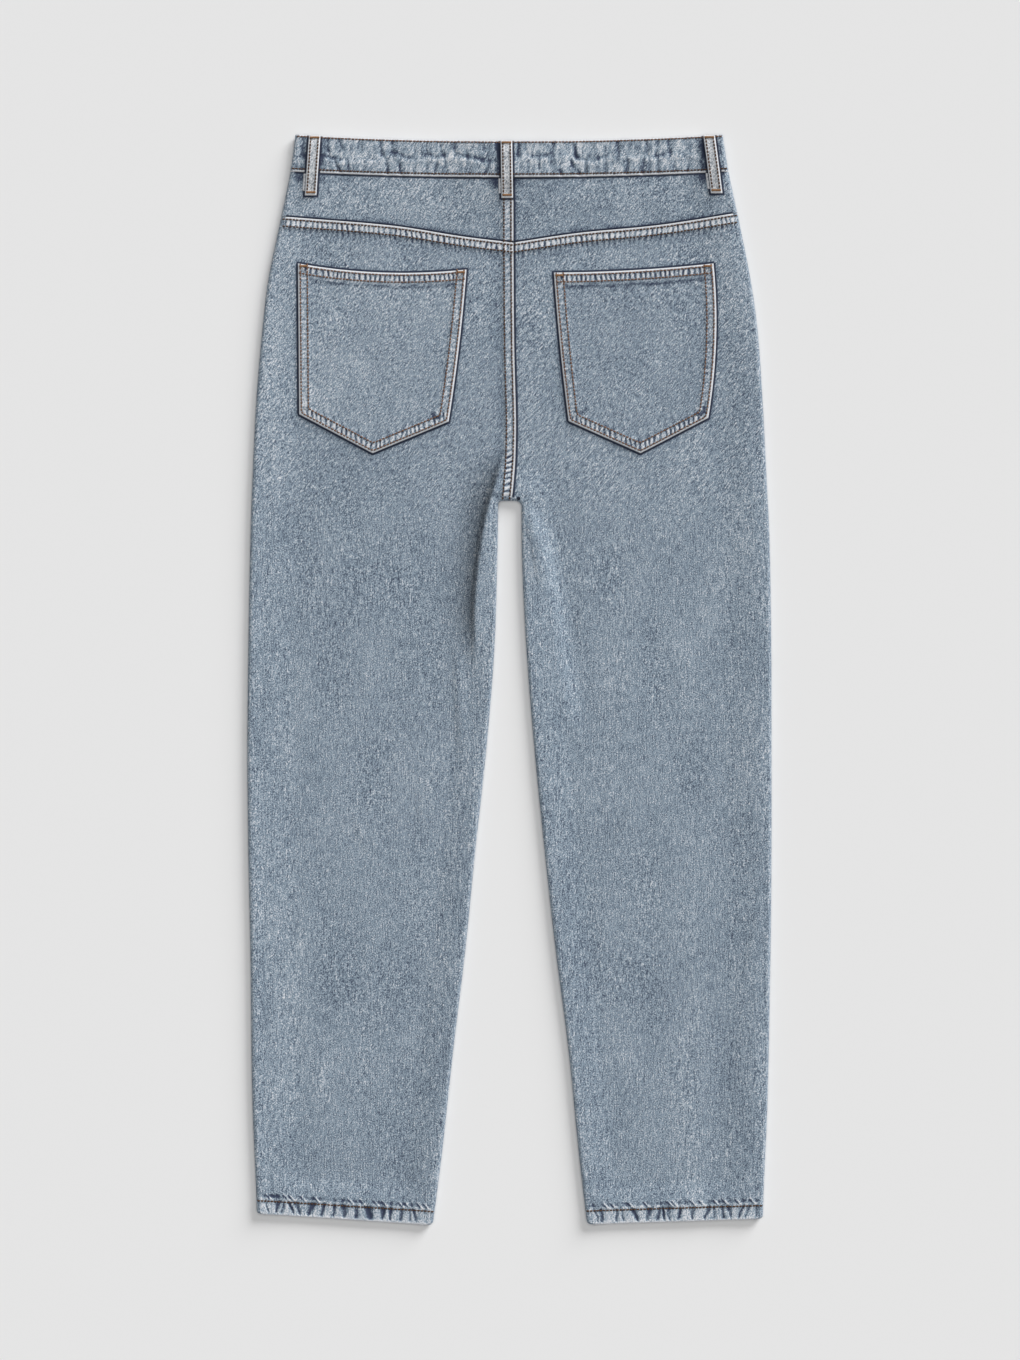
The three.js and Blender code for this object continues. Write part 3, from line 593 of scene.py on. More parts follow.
def outline_distance(outline, x, y):
    """Distance of places from a closed outline, below zero inside it."""
    closed = np.concatenate([outline, outline[:1]])
    inside = np.zeros(np.shape(x), bool)
    for (ax, ay), (bx, by) in zip(closed[:-1], closed[1:]):
        if ay != by:
            crossed = ((ay > y) != (by > y)) & (x < (bx - ax) * (y - ay) / (by - ay) + ax)
            inside ^= crossed
    return np.where(inside, -1, 1) * chain_distance(closed, x, y)


def loop_middle(cut, y):
    """A belt loop's middle line at a height."""
    top = band_top(cut["top_x"])
    return mix(cut["bottom_x"], cut["top_x"], (y - cut["bottom_y"]) / (top - cut["bottom_y"]))


def loop_shade(x, y):
    """Distance of places from the nearest belt loop's side, below zero under it."""
    nearest = np.full(np.shape(x), FAR)
    for cut in BACK_LOOPS:
        beside = np.abs(x - loop_middle(cut, y)) - LOOP_WIDTH / 2
        nearest = np.minimum(nearest, np.maximum(beside, cut["bottom_y"] - y))
    return nearest


# Marks of a face for its finish: its wear and painted shade; mm from its worn edges and from what is
# sewn on it, beside which dye is kept and shadow painted; the painted shade and highlight of folds; and
# the count along a row of puckers, mm across it and its strength
PLAIN_MARKS = {
    "wear": 0.1, "edge": 20.0, "under": FAR, "dusk": 0.0, "run": 0.0, "across": FAR, "drawn": 0.0,
}


def grooves(distance, *rows):
    """Where the cloth dips under rows of stitches."""
    return sum(bell((distance - row) / 0.75) for row in rows)


def centre_sewing(side, x, y):
    """The felled seam down the middle of the back: its rise, and its marks."""
    from_seam = side["to_middle"] * (back_seam(y) - x) - SEAM_GAP / 2
    below = fade((CROTCH + 2 - y) / 4)
    lapped = side["lap"] * below
    other = (1 - side["lap"]) * below
    felled = lapped * fade((from_seam - FELLED_WIDTH) / FELLED_SLOPE)
    sunk = grooves(from_seam, FIRST_ROW, SECOND_ROW)
    rise = FELLED * felled - 0.2 * lapped * sunk
    between = window(from_seam, FIRST_ROW, SECOND_ROW, 1.0)
    wear = 0.6 * between + 0.5 * bell(from_seam - SECOND_ROW - 1.7)
    wear = lapped * (wear - 0.6 * sunk)
    # Painted shade in the steps beside the seam
    wear -= 0.5 * other * fade(from_seam / 6) + 0.35 * lapped * bell((from_seam - 14) / 5)
    near_gap = fade((y - CROTCH - 38) / 26)
    marks = {
        "wear": wear,
        "edge": mix(FAR, from_seam, lapped),
        "under": mix(FAR, from_seam, other),
        "run": (y + 0.5 * from_seam) / GAP_PITCH,
        "across": np.where((lapped > 0.5) & (from_seam < SECOND_ROW + 0.4), from_seam, FAR),
        "drawn": mix(0.2, 1.15, near_gap),
    }
    return rise, marks


def back_face(side, x, y):
    """The back's outer face: its height and marks."""
    from_outer, from_inner = fold_distances(side, x, y)
    seed = side["back_seed"]
    below_yoke = yoke_seam(side, x) - y
    above_hem = y - hem_edge(side, x)
    depth = bpy.context.scene.jeans_cloth.pucker / MM

    rise, wear, dusk = crease_rise(side, x, y)
    # Lie of the leg and the seat: long low waves
    rise = rise + 0.3 * noise(x, y, 34, 95, seed) + 0.14 * noise(x, y, 15, 48, seed + 1)
    wear = wear + 0.15 * noise(x, y, 34, 95, seed) + 0.08 * noise(x, y, 15, 48, seed + 1)
    # The felled seam to the yoke, and the puckers that run out below it
    sunk = grooves(below_yoke, FIRST_ROW, SECOND_ROW)
    rise += FELLED * fade((below_yoke - FELLED_WIDTH) / FELLED_SLOPE)
    rise -= 0.22 * sunk
    wear += 1.1 * window(below_yoke, FIRST_ROW, SECOND_ROW, 1.0) - 0.6 * sunk
    wear -= 0.25 * window(below_yoke, SECOND_ROW + 1.0, SECOND_ROW + 5.0, 9.0)
    # The felled seam down the middle of the back
    seam_rise, seam = centre_sewing(side, x, y)
    clear = fade((FELLED_WIDTH - below_yoke) / 3)
    rise += seam_rise * clear
    wear += seam["wear"] * clear
    # The hem: dark valleys between its edge and its stitching, and short puckers above
    up = np.clip(above_hem / HEM_ROW, 0, 1)
    leant = x + 0.55 * noise(x, 0, 10, 1, seed + 9) * (above_hem - 7)
    leant += 0.9 * noise(x, y, 4, 5, seed + 10)
    uneven = np.clip(0.85 + 0.5 * noise(x, y, 5, 7, seed + 13), 0, 1.2)
    dips = valleys(HEM_VALLEYS, leant, 0.5 + 0.55 * up) * uneven
    in_hem = window(above_hem, 3.2, HEM_ROW + 0.4, 1.8)
    blots = valleys(HEM_VALLEYS, leant + 2.4 + 3 * noise(x, 0, 14, 1, seed + 8), 0.9)
    above = window(above_hem, HEM_ROW + 4.0, HEM_ROW + 5.6, 1.8)
    rise -= depth * (1.3 * dips * in_hem + 0.7 * blots * above)
    wear += 0.85 * fade((above_hem - HEM_ROW - 2.4) / 2.0)
    wear -= 3.4 * dips * in_hem + (1.5 * blots + 0.3) * above
    wear += 0.4 * fade((above_hem - 2.6) / 1.6)
    for middle in HEM_THREADS:
        lean = x - middle - 0.9 * (HEM_ROW + 5.5 - above_hem)
        thread = bell(lean / 0.9) * window(above_hem, HEM_ROW + 2.6, HEM_ROW + 6.4, 1.8)
        behind = bell((lean + 1.9) / 0.9) * window(above_hem, HEM_ROW + 3.2, HEM_ROW + 6.2, 1.5)
        rise += 0.5 * thread
        wear += 2.6 * thread - 2.4 * behind
    rise -= 0.35 * grooves(above_hem, HEM_ROW)
    wear -= 0.6 * grooves(above_hem, HEM_ROW)
    # Folds at the sides, with a soft painted highlight that lies inside the outer ones
    painted_fold_highlight = bell((from_outer - 9) / 5) * (0.7 + 0.5 * noise(x, y, 20, 70, seed + 14))
    dusk = dusk - 0.16 * painted_fold_highlight
    # The outer edge is rubbed a little more down the left leg
    wear += side["leg_wear"] * fade((from_outer - 10) / 60) * fade((230 - y) / 80)
    # Painted shade on the rolls of the folds, deeper on the fold at the leg's right
    turned = fade(from_outer / 3) + fade(from_inner / 3)
    wear -= turned * np.where(from_outer < from_inner, side["outer_dye"], side["inner_dye"])

    settle = 1 - fade((np.minimum(from_outer, from_inner) - FOLD_RADIUS) / 6)
    height = back_lie(side, x, y) + rise * settle
    under = np.full(np.shape(x), FAR)
    for cut in (one for one in POCKETS if one["side"] == side["name"]):
        under = np.minimum(under, outline_distance(pocket_outline(cut), x, y))
    # Painted shade round the pockets
    wear -= 0.55 * fade((under - 0.5) / 6) * (0.7 + 0.6 * noise(x, y, 12, 12, seed + 12))
    at_centre = (seam["across"] < FAR) & (below_yoke > FELLED_WIDTH + 1)
    marks = {
        "wear": wear,
        "edge": np.minimum(np.minimum(below_yoke, seam["edge"]), above_hem + 0.4),
        "under": np.minimum(under, seam["under"]),
        "dusk": dusk,
        "run": np.where(at_centre, seam["run"], x / LADDER_PITCH),
        "across": np.where(at_centre, seam["across"], below_yoke),
        "drawn": np.where(at_centre, seam["drawn"], 1.0),
    }
    return height, marks


def yoke_face(side, x, y):
    """A yoke's outer face: its height and marks."""
    from_outer, _ = fold_distances(side, x, y)
    seed = side["yoke_seed"]
    above_seam = y - yoke_seam(side, x)
    below_band = band_seam(x) - y
    depth = bpy.context.scene.jeans_cloth.pucker / MM
    rise = 0.25 * noise(x, y, 26, 40, seed)
    wear = 0.14 * noise(x, y, 22, 30, seed) + 0.12 * noise(x, y, 60, 26, seed + 6)
    wear += side["yoke_wear"]
    seam_rise, seam = centre_sewing(side, x, y)
    rise += seam_rise
    wear += seam["wear"]
    steps = valleys(BAND_LOW_VALLEYS, x, 1.3)
    near_band = fade(below_band / 9)
    rise -= depth * 0.4 * steps * near_band
    wear -= 0.5 * steps * near_band
    # Painted shade on the roll of the outer fold
    wear -= fade(from_outer / 3) * side["outer_dye"]
    # Painted shade above the seam to the back panel, beside its raised edge
    wear -= 0.85 * fade((above_seam - 1) / 7) * np.clip(0.6 + noise(x, y, 17, 9, seed + 4), 0, 1.3)
    # Painted shadow of the belt loops on the yoke just below the waistband, mostly on their left
    for cut in BACK_LOOPS:
        beside = x - loop_middle(cut, y)
        loop_shadow = bell((beside + 11) / 6) + 0.4 * bell((beside - 10) / 5)
        wear = wear - 2.1 * loop_shadow * window(below_band, 1, 5, 8)
    settle = 1 - fade((from_outer - FOLD_RADIUS) / 6)
    height = back_lie(side, x, y) + rise * settle
    under = np.minimum(np.minimum(above_seam, below_band), loop_shade(x, y))
    return height, {**seam, "wear": wear, "under": np.minimum(under, seam["under"])}


def from_band_fold(x, y):
    """How far points of the waistband lie from its nearer side fold."""
    left, right = (along(OUTER_FOLDS, "y", name, y) for name in SIDES)
    return np.abs(x - np.where(x < 0, left, right))


def band_lie(x, y):
    """Height of the waistband's plain outer face on the back."""
    swell = BAND_BASE + 2 * BAND_FOLD - BAND_LIE
    swell = swell * fade((from_band_fold(x, y) - BAND_FOLD) / BAND_SAG)
    return BAND_LIE + swell + HUMP * hump_across(x)


def band_face(x, y):
    """The waistband's outer face on the back: drawn into upright valleys by its two rows."""
    from_fold = from_band_fold(x, y)
    depth = bpy.context.scene.jeans_cloth.pucker / MM
    above, below = y - band_seam(x), band_top(x) - y
    width = above + below
    wander = x + 1.7 * noise(x, y, 7, 8, 37)
    uneven = np.clip(0.8 + 0.7 * noise(x, y, 4, 6, 48), 0.1, 1.4)
    dips = valleys(BAND_TOP_VALLEYS, wander, 1.05 - 0.7 * below / width, below) * uneven
    low_dips = valleys(BAND_LOW_VALLEYS, wander, 0.95 - 0.6 * above / width, above) * uneven
    upper = window(below, 2.2, 0.4 * width, 0.3 * width)
    lower = window(above, 3.0, 0.3 * width, 0.28 * width)
    drawn = dips * upper + low_dips * lower
    rise = -depth * 1.3 * drawn
    wear = -2.0 * drawn
    # The slack along the middle of the band
    line = above - width * (0.5 + 0.16 * noise(x, 0, 19, 1, 38)) + 1.1 * (wander - x)
    slack = bell(line / 1.7) * np.clip(0.55 + 1.1 * noise(x, 0, 11, 1, 39), 0, 1)
    rise += depth * (0.5 * bell((line + 4) / 3) - 0.7 * slack)
    wear -= 1.6 * slack
    wear += 0.3 + 0.25 * noise(x, y, 11, 7, 43) + 0.8 * noise(x, y, 2.2, 7, 44)
    wear += 0.3 * bell((line + 4) / 2.5)
    patches = np.clip(0.7 + 0.8 * noise(x, y, 4, 10, 47), 0, 1.4)
    # Painted shade on the waistband beside each belt loop, uneven in patches
    for cut in BACK_LOOPS:
        beside = np.abs(x - loop_middle(cut, y))
        wear = wear - 1.2 * bell((beside - 8) / 5) * patches
    rise -= 0.35 * (grooves(above, BAND_ROW) + grooves(below, BAND_TOP_ROW))
    wear -= 0.8 * grooves(above, BAND_ROW) + 0.5 * grooves(below, BAND_TOP_ROW)
    # Painted shade on the rolls of the band's side folds, deeper at the right
    wear -= fade(from_fold / 3) * np.where(x > 0, RIGHT_FOLD_PAINTED_SHADE, LEFT_FOLD_PAINTED_SHADE)
    settle = 1 - fade((from_fold - BAND_FOLD) / 5)
    marks = {"wear": wear, "edge": np.minimum(above, below + 1.0), "under": loop_shade(x, y)}
    return band_lie(x, y) + rise * settle, marks


def band_under(x):
    return BAND_BASE + BUTTON_LIFT * fade((np.abs(x) - LAP) / LAP)


def roll(place, radius, base):
    """Points from a fold's underside round to its top."""
    angle = math.pi * (np.arange(FOLD_STEPS + 1) / FOLD_STEPS - 0.5)
    inward = radius * (1 - np.cos(angle))
    height = base + radius * (1 + np.sin(angle))
    return np.stack([place["x"] + place["nx"] * inward, place["y"] + place["ny"] * inward, height], 1)


def flap(place):
    """Points of the cloth under a fold, from the seam to the fold."""
    inward = np.linspace(WRAP, FOLD_RADIUS, FLAP_STEPS + 1)[:-1]
    flat = np.zeros(FLAP_STEPS)
    return np.stack([place["x"] + place["nx"] * inward, place["y"] + place["ny"] * inward, flat], 1)


# Columns close together beside a seam or fold, in from it
CLOSE_COLUMNS = np.array(
    [0.0, 0.25, 0.7, 1.3, 2.3, 3.4, 4.6, 5.8, 7.0, 8.2, 9.0, 9.6, 10.3, 11.1, 12.3, 13.8, 15.6]
)
WIDE_COLUMNS = 160
SEAT_ROWS = 84
LEG_ROWS = 90
YOKE_ROWS = 34
FRONT_LEG_ROWS = 50
FRONT_HIP_ROWS = 46
FACING_COLUMNS = 24
FACING_ROWS = 30
FACING_END = 0.95  # short of the opening's narrow lower end
BAND_FRONT_COLUMNS = 60
BAND_BACK_COLUMNS = 380


def spread(length):
    """Distances along a row of points: even, then close together towards its inner end."""
    even = np.linspace(0, length - CLOSE_COLUMNS[-1], WIDE_COLUMNS + 1)[1:-1]
    return np.concatenate([even, (length - CLOSE_COLUMNS)[::-1]])


def meet_fold(side, y_at):
    """Where a line across the garment meets the outer fold."""
    y = float(y_at(np.array(-side["to_middle"] * BAND_HALF)))
    for _ in range(6):
        y = float(y_at(along(OUTER_FOLDS, "y", side["name"], y)))
    return y


def outer_end(side, y):
    place = outer_place(side, y)
    return np.concatenate([flap(place), roll(place, FOLD_RADIUS, 0)])


def seat_row(side, y_at):
    """A row from under the outer fold to the centre back seam."""
    start = outer_end(side, meet_fold(side, y_at))
    from_x = start[-1, 0]
    seam_x = float(back_seam(y_at(np.array(4.0)))) - side["to_middle"] * SEAM_GAP / 2
    x = from_x + side["to_middle"] * spread(abs(seam_x - from_x))
    row = np.stack([x, y_at(x), np.full(len(x), np.nan)], 1)
    return np.concatenate([start, row])


def leg_row(side, place):
    """A row from under the outer fold, over the leg, to under the inner fold."""
    start = outer_end(side, place["outer_y"])
    end = np.concatenate([flap(place), roll(place, FOLD_RADIUS, 0)])[::-1]
    length = math.hypot(*(end[0, :2] - start[-1, :2]))
    share = spread(length)[:-1, None] / length
    row = np.concatenate([mix(start[-1, :2], end[0, :2], share), np.full((len(share), 1), np.nan)], 1)
    return np.concatenate([start, row, end])


def shell(name, rows, way, wall, finish, rounding=None, marks=None):
    """A closed wall of cloth from rows of points on its outer face, the inner face a wall below.

    Rows may grow longer once, where more cloth joins in. rounding is how far each edge point is
    drawn in towards the wall's middle, and marks are attributes for the finish.
    """
    points = np.concatenate(rows)
    lengths = [len(row) for row in rows]
    starts = np.concatenate([[0], np.cumsum(lengths)[:-1]])
    quads = []
    for r in range(len(rows) - 1):
        here = starts[r] + np.arange(min(lengths[r], lengths[r + 1]) - 1)
        step = starts[r + 1] - starts[r]
        quads.append(np.stack([here, here + step, here + step + 1, here + 1], 1))
    quads = np.concatenate(quads)
    if way < 0:
        quads = quads[:, ::-1]
    a, b, c, d = (points[quads[:, k]] for k in range(4))
    facing = np.cross(c - a, d - b)
    facing /= np.linalg.norm(facing, axis=1, keepdims=True)
    normals = np.zeros_like(points)
    for k in range(4):
        np.add.at(normals, quads[:, k], facing)
    normals /= np.linalg.norm(normals, axis=1, keepdims=True)
    wall = np.broadcast_to(wall, len(points))[:, None]
    sink = np.zeros((len(points), 1)) if rounding is None else rounding[:, None]
    outer = points - normals * sink
    inner = points - normals * (wall - sink)
    sides = np.concatenate([quads[:, [k, (k + 1) % 4]] for k in range(4)])
    keys = sides[:, 0] * len(points) + sides[:, 1]
    back_keys = sides[:, 1] * len(points) + sides[:, 0]
    rim = sides[~np.isin(keys, back_keys)]
    count = len(points)
    faces = np.concatenate(
        [
            quads,
            quads[:, ::-1] + count,
            np.stack([rim[:, 1], rim[:, 0], rim[:, 0] + count, rim[:, 1] + count], 1),
        ]
    )
    piece = piece_from(name, np.concatenate([outer, inner]), faces, finish)
    twill = fade((TWILL_LOW + TWILL_FADE - points[:, 1]) / TWILL_FADE)
    for mark, values in {**PLAIN_MARKS, **(marks or {}), "twill": twill}.items():
        attribute = piece.data.attributes.new(mark, "FLOAT", "POINT")
        values = np.broadcast_to(np.ravel(values), len(points))
        attribute.data.foreach_set("value", np.tile(values, 2).astype(np.float32))
    return piece


def piece_from(name, points, faces, finish):
    """A piece at the origin with its place in its mesh, in metres."""
    mesh = bpy.data.meshes.new(name)
    mesh.from_pydata((points * MM).tolist(), [], faces.tolist())
    mesh.validate()
    mesh.materials.append(finish)
    mesh.shade_smooth()
    piece = bpy.data.objects.new(name, mesh)
    bpy.context.scene.collection.objects.link(piece)
    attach(piece, "root")
    return piece


def joined(piece, other):
    """Two pieces as one."""
    bpy.ops.object.select_all(action="DESELECT")
    other.select_set(True)
    piece.select_set(True)
    bpy.context.view_layer.objects.active = piece
    bpy.ops.object.join()
    return piece


def hem_wall(wall, above_hem):
    """Thickness of the cloth, which is turned twice at the hem."""
    return mix(wall, HEM_WALL, fade((above_hem - HEM_WIDTH) / HEM_STEP))


def edge_rounding(distance, radius):
    """How far the wall draws in near an edge, for a round edge."""
    near = np.clip(radius - distance, 0, radius)
    return radius - np.sqrt(np.maximum(radius**2 - near**2, 0))


def add(tree, kind, inputs=(), output=0, **settings):
    """Adds a node with its settings, values and links, and gives one of its outputs."""
    made = tree.nodes.new(f"ShaderNode{kind}")
    for name, value in settings.items():
        setattr(made, name, value)
    for socket, value in inputs.items() if isinstance(inputs, dict) else enumerate(inputs):
        if isinstance(value, bpy.types.NodeSocket):
            tree.links.new(value, made.inputs[socket])
        else:
            made.inputs[socket].default_value = value
    return made.outputs[output] if len(made.outputs) else made


# Patterns of the washed cloth: turn in degrees, cell along and across it in mm, detail, and the
# strength on the legs and on the seat, where the twill shows more.
# Real twill lines are 0.7 mm apart. They are drawn twice as coarse, so that they show.
WEAVE = (
    {"turn": 50, "cell": (4.6, 1.05), "detail": 0.0, "leg": 0.34, "seat": 0.85},
    {"turn": 90, "cell": (10.0, 1.1), "detail": 0.0, "leg": 0.55, "seat": 0.2},
    {"turn": 67, "cell": (1.15, 0.85), "detail": 0.0, "leg": 1.3, "seat": 1.3},
    {"turn": 90, "cell": (10.0, 6.5), "detail": 1.0, "leg": 0.12, "seat": 0.1},
    {"turn": 90, "cell": (85.0, 42.0), "detail": 1.0, "leg": 0.18, "seat": 0.13},
)
TWILL_LOW = 130.0
TWILL_FADE = 60.0

# The finish's own tones: how far wear, painted shade and puckers move the dye, how deep the painted
# shading of folds is, and the distances from an edge between which it is rubbed white, or from a seam
# where dye is kept and shadow is painted
TONE = {"wear": 0.3, "pucker": 0.6, "plain": 0.5, "dusk": -0.46, "frayed": -1.2}
RUBBED = {"from": 2.3, "to": 1.2, "share": 0.92}
KEPT_DYE_AND_SHADE = {"from": 2.5, "to": 1.4, "share": 0.95}


def blank_finish(name):
    """A finish with nothing in it yet: the material, its tree and the place on the piece."""
    made = bpy.data.materials.new(name)
    made.use_nodes = True
    tree = made.node_tree
    tree.nodes.clear()
    return made, tree, add(tree, "TexCoord", output="Object")


def weave_height(tree, place, seat):
    """The mottle of washed twill."""
    total = 0.0
    for pattern in WEAVE:
        cell = [size * MM for size in (*pattern["cell"], pattern["cell"][1])]
        turn = (0, 0, math.radians(pattern["turn"]))
        turned = add(
            tree, "Mapping", {"Vector": place, "Rotation": turn, "Scale": cell}, vector_type="TEXTURE"
        )
        inputs = {"Vector": turned, "Scale": 1.0, "Detail": pattern["detail"]}
        fibres = add(tree, "TexNoise", inputs, "Fac")
        more = pattern["seat"] - pattern["leg"]
        weight = add(tree, "Math", (seat, more, pattern["leg"]), operation="MULTIPLY_ADD")
        even = add(tree, "Math", (fibres, 0.5), operation="SUBTRACT")
        total = add(tree, "Math", (even, weight, total), operation="MULTIPLY_ADD")
    return total


def pucker_height(tree, place, marks):
    """Puckers between two rows of stitches: broad pale rungs and narrow dark valleys."""
    wobble = add(tree, "TexNoise", {"Vector": place, "Scale": 45.0, "Detail": 1.0}, "Fac")
    count = add(tree, "Math", (wobble, 1.7, marks["run"]), operation="MULTIPLY_ADD")
    turn = add(tree, "Math", (count, 2 * math.pi), operation="MULTIPLY")
    wave = add(tree, "Math", (turn,), operation="COSINE")
    low = add(tree, "Math", (wave, -0.5, 0.5), operation="MULTIPLY_ADD")
    valley = add(tree, "Math", (low, 1.7), operation="POWER")
    rung = add(tree, "Math", (valley, -1.6, 0.6), operation="MULTIPLY_ADD")
    patch = add(tree, "TexNoise", {"Vector": place, "Scale": 150.0, "Detail": 1.0}, "Fac")
    uneven = add(tree, "Math", (patch, 2.6, -0.4), operation="MULTIPLY_ADD")
    # Full between the rows, and fading out past the second one
    steps = [
        add(tree, "MapRange", (marks["across"], start, end), interpolation_type="SMOOTHSTEP")
        for start, end in (
            (FIRST_ROW, FIRST_ROW + 1),
            (SECOND_ROW, SECOND_ROW - 1),
            (SECOND_ROW, SECOND_ROW + 1.2),
            (SECOND_ROW + 8, SECOND_ROW + 1.5),
        )
    ]
    between = add(tree, "Math", steps[:2], operation="MULTIPLY")
    after = add(tree, "Math", steps[2:], operation="MULTIPLY")
    reach = add(tree, "Math", (after, 0.6, between), operation="MULTIPLY_ADD")
    form = add(tree, "Math", (rung, uneven), operation="MULTIPLY")
    strength = add(tree, "Math", (reach, marks["drawn"]), operation="MULTIPLY")
    return add(tree, "Math", (form, strength), operation="MULTIPLY")


def denim(name, lift=0.0, saturation=1.0):
    """Stone washed indigo denim: ring spun twill whose blue is rubbed off the high threads.

    To the eye it is matt, grey blue and mottled, with upright slubs, pale specks, white rubbed
    seam edges, the dark blue left in the puckers, dye kept and shadow painted beside what is sewn
    on, and painted shade and highlight at the folds.
    """
    cloth = bpy.context.scene.jeans_cloth
    made, tree, place = blank_finish(name)
    marks = {
        mark: add(tree, "Attribute", output="Fac", attribute_name=mark)
        for mark in (*PLAIN_MARKS, "twill")
    }
    weave = weave_height(tree, place, marks["twill"])
    puckers = pucker_height(tree, place, marks)
    plain = TONE["plain"] + lift
    worn = add(tree, "Math", (marks["wear"], TONE["wear"], plain), operation="MULTIPLY_ADD")
    drawn = add(tree, "Math", (puckers, TONE["pucker"], worn), operation="MULTIPLY_ADD")
    value = add(tree, "Math", (drawn, weave), operation="ADD")
    dyed = add(tree, "ValToRGB", (value,))
    stops = (
        (0.0, cloth.deep), (0.3, cloth.blue), (0.5, cloth.middle),
        (0.72, cloth.light), (1.0, cloth.white),
    )
    elements = dyed.node.color_ramp.elements
    while len(elements) < len(stops):
        elements.new(0.5)
    for element, (position, colour) in zip(elements, stops):
        element.position = position
        element.color = (*colour, 1)
    seen = add(tree, "HueSaturation", {"Saturation": saturation, "Color": dyed})
    frayed = add(tree, "Math", (weave, TONE["frayed"], marks["edge"]), operation="MULTIPLY_ADD")
    # White rubbed edges, and beside what is sewn on a dark line of kept dye and painted shadow
    for distance, reach, colour in ((frayed, RUBBED, cloth.white), (marks["under"], KEPT_DYE_AND_SHADE, cloth.shade)):
        near = (distance, reach["from"], reach["to"])
        near = add(tree, "MapRange", near, interpolation_type="SMOOTHSTEP")
        share = add(tree, "Math", (near, reach["share"]), operation="MULTIPLY")
        seen = add(tree, "Mix", {"Factor": share, 6: seen, 7: (*colour, 1)}, 2, data_type="RGBA")
    # Painted shade of folds and creases, and painted highlight, as a scale on the colour
    light = add(tree, "Math", (marks["dusk"], TONE["dusk"], 1.0), operation="MULTIPLY_ADD")
    seen = add(tree, "VectorMath", {0: seen, "Scale": light}, operation="SCALE")
    height = add(tree, "Math", (puckers, 1.6, weave), operation="MULTIPLY_ADD")
    bump = add(tree, "Bump", {"Strength": 0.7, "Distance": 0.35 * MM, "Height": height})
    matt = {
        "Base Color": seen,
        "Roughness": 0.93,
        "Specular IOR Level": 0.2,
        "Sheen Weight": 0.12,
        "Sheen Roughness": 0.6,
        "Normal": bump,
    }
    add(tree, "OutputMaterial", {"Surface": add(tree, "BsdfPrincipled", matt)})
    return made


def thread_finish(name, colour):
    """Spun polyester topstitching thread: to the eye matt, and a little uneven in tone."""
    made, tree, place = blank_finish(name)
    fibre = add(tree, "TexNoise", {"Vector": place, "Scale": 900.0, "Detail": 2.0}, "Fac")
    tone = add(tree, "MapRange", (fibre, 0.3, 0.7, 0.65, 1.3))
    tones = {"Factor": 1.0, 6: (*colour, 1), 7: tone}
    dyed = add(tree, "Mix", tones, 2, data_type="RGBA", blend_type="MULTIPLY")
    bump = add(tree, "Bump", {"Strength": 0.5, "Distance": 0.1 * MM, "Height": fibre})
    spun = {"Base Color": dyed, "Roughness": 0.8, "Specular IOR Level": 0.3, "Normal": bump}
    add(tree, "OutputMaterial", {"Surface": add(tree, "BsdfPrincipled", spun)})
    return made


def button_finish(name):
    """Antique brass plate on a pressed cap: to the eye a dull metal, browned in patches."""
    made, tree, place = blank_finish(name)
    stain = add(tree, "TexNoise", {"Vector": place, "Scale": 420.0, "Detail": 4.0}, "Fac")
    browned = add(tree, "ValToRGB", (stain,))
    for element, code in zip(browned.node.color_ramp.elements, ("#4A4035", "#A08E72")):
        element.color = (*linear(code), 1)
    rough = add(tree, "MapRange", (stain, 0.3, 0.7, 0.5, 0.3))
    plate = {"Base Color": browned, "Metallic": 1.0, "Roughness": rough}
    add(tree, "OutputMaterial", {"Surface": add(tree, "BsdfPrincipled", plate)})
    return made


def finish_named(name, maker, *details):
    """A finish that is made once and then shared."""
    return bpy.data.materials.get(name) or maker(name, *details)


def faced(side, rows, face):
    """Fills in the heights of the rows' open points from a face, and reads its marks."""
    points = np.concatenate(rows)
    top = np.isnan(points[:, 2])
    height, seen = face(side, points[:, 0], points[:, 1])
    points[top, 2] = height[top]
    lengths = np.cumsum([len(row) for row in rows])[:-1]
    marks = {name: np.where(top, values, PLAIN_MARKS[name]) for name, values in seen.items()}
    return np.split(points, lengths), marks


def length_setting(name, description, default):
    """A length that a user can change."""
    return FloatProperty(name=name, description=description, default=default, unit="LENGTH")


def colour_setting(name, description, code):
    """A colour that a user can change."""
    return FloatVectorProperty(
        name=name, description=description, size=3, subtype="COLOR", default=linear(code)
    )


class JeansCloth(PropertyGroup):
    """The denim."""

    wall: length_setting("Cloth", "Thickness of the denim", 0.0013)
    pucker: length_setting("Puckers", "Height of the puckers that the sewing draws up", 0.0008)
    deep: colour_setting("Indigo", "Dye kept in the puckers", "#384157")
    blue: colour_setting("Blue", "Cloth that is little rubbed", "#687583")
    middle: colour_setting("Washed", "Cloth as it is in most places", "#8192A1")
    light: colour_setting("Light", "Well rubbed cloth", "#A1ADB9")
    white: colour_setting("Bare", "Cotton with its dye rubbed off", "#D8DADE")
    # Kept dye and painted shadow beside what is sewn on
    shade: colour_setting("Beside seams", "Dye kept beside what is sewn on", "#232B3F")


class JeansThread(PropertyGroup):
    """The sewing. Real thread is about half as thick, and would hardly show."""

    width: length_setting("Thread", "Thickness of the thread", 0.0015)
    stitch: length_setting("Stitch", "Length of one stitch", 0.0033)
    brown: colour_setting("Brown", "Thread of most seams", "#523C2D")
    tan: colour_setting("Tan", "Thread of the pockets", "#73594A")
    navy: colour_setting("Navy", "Thread of the inner seams", "#1E2433")
    tack: colour_setting("Bar tacks", "Thread of the bar tacks", "#8E6A4A")


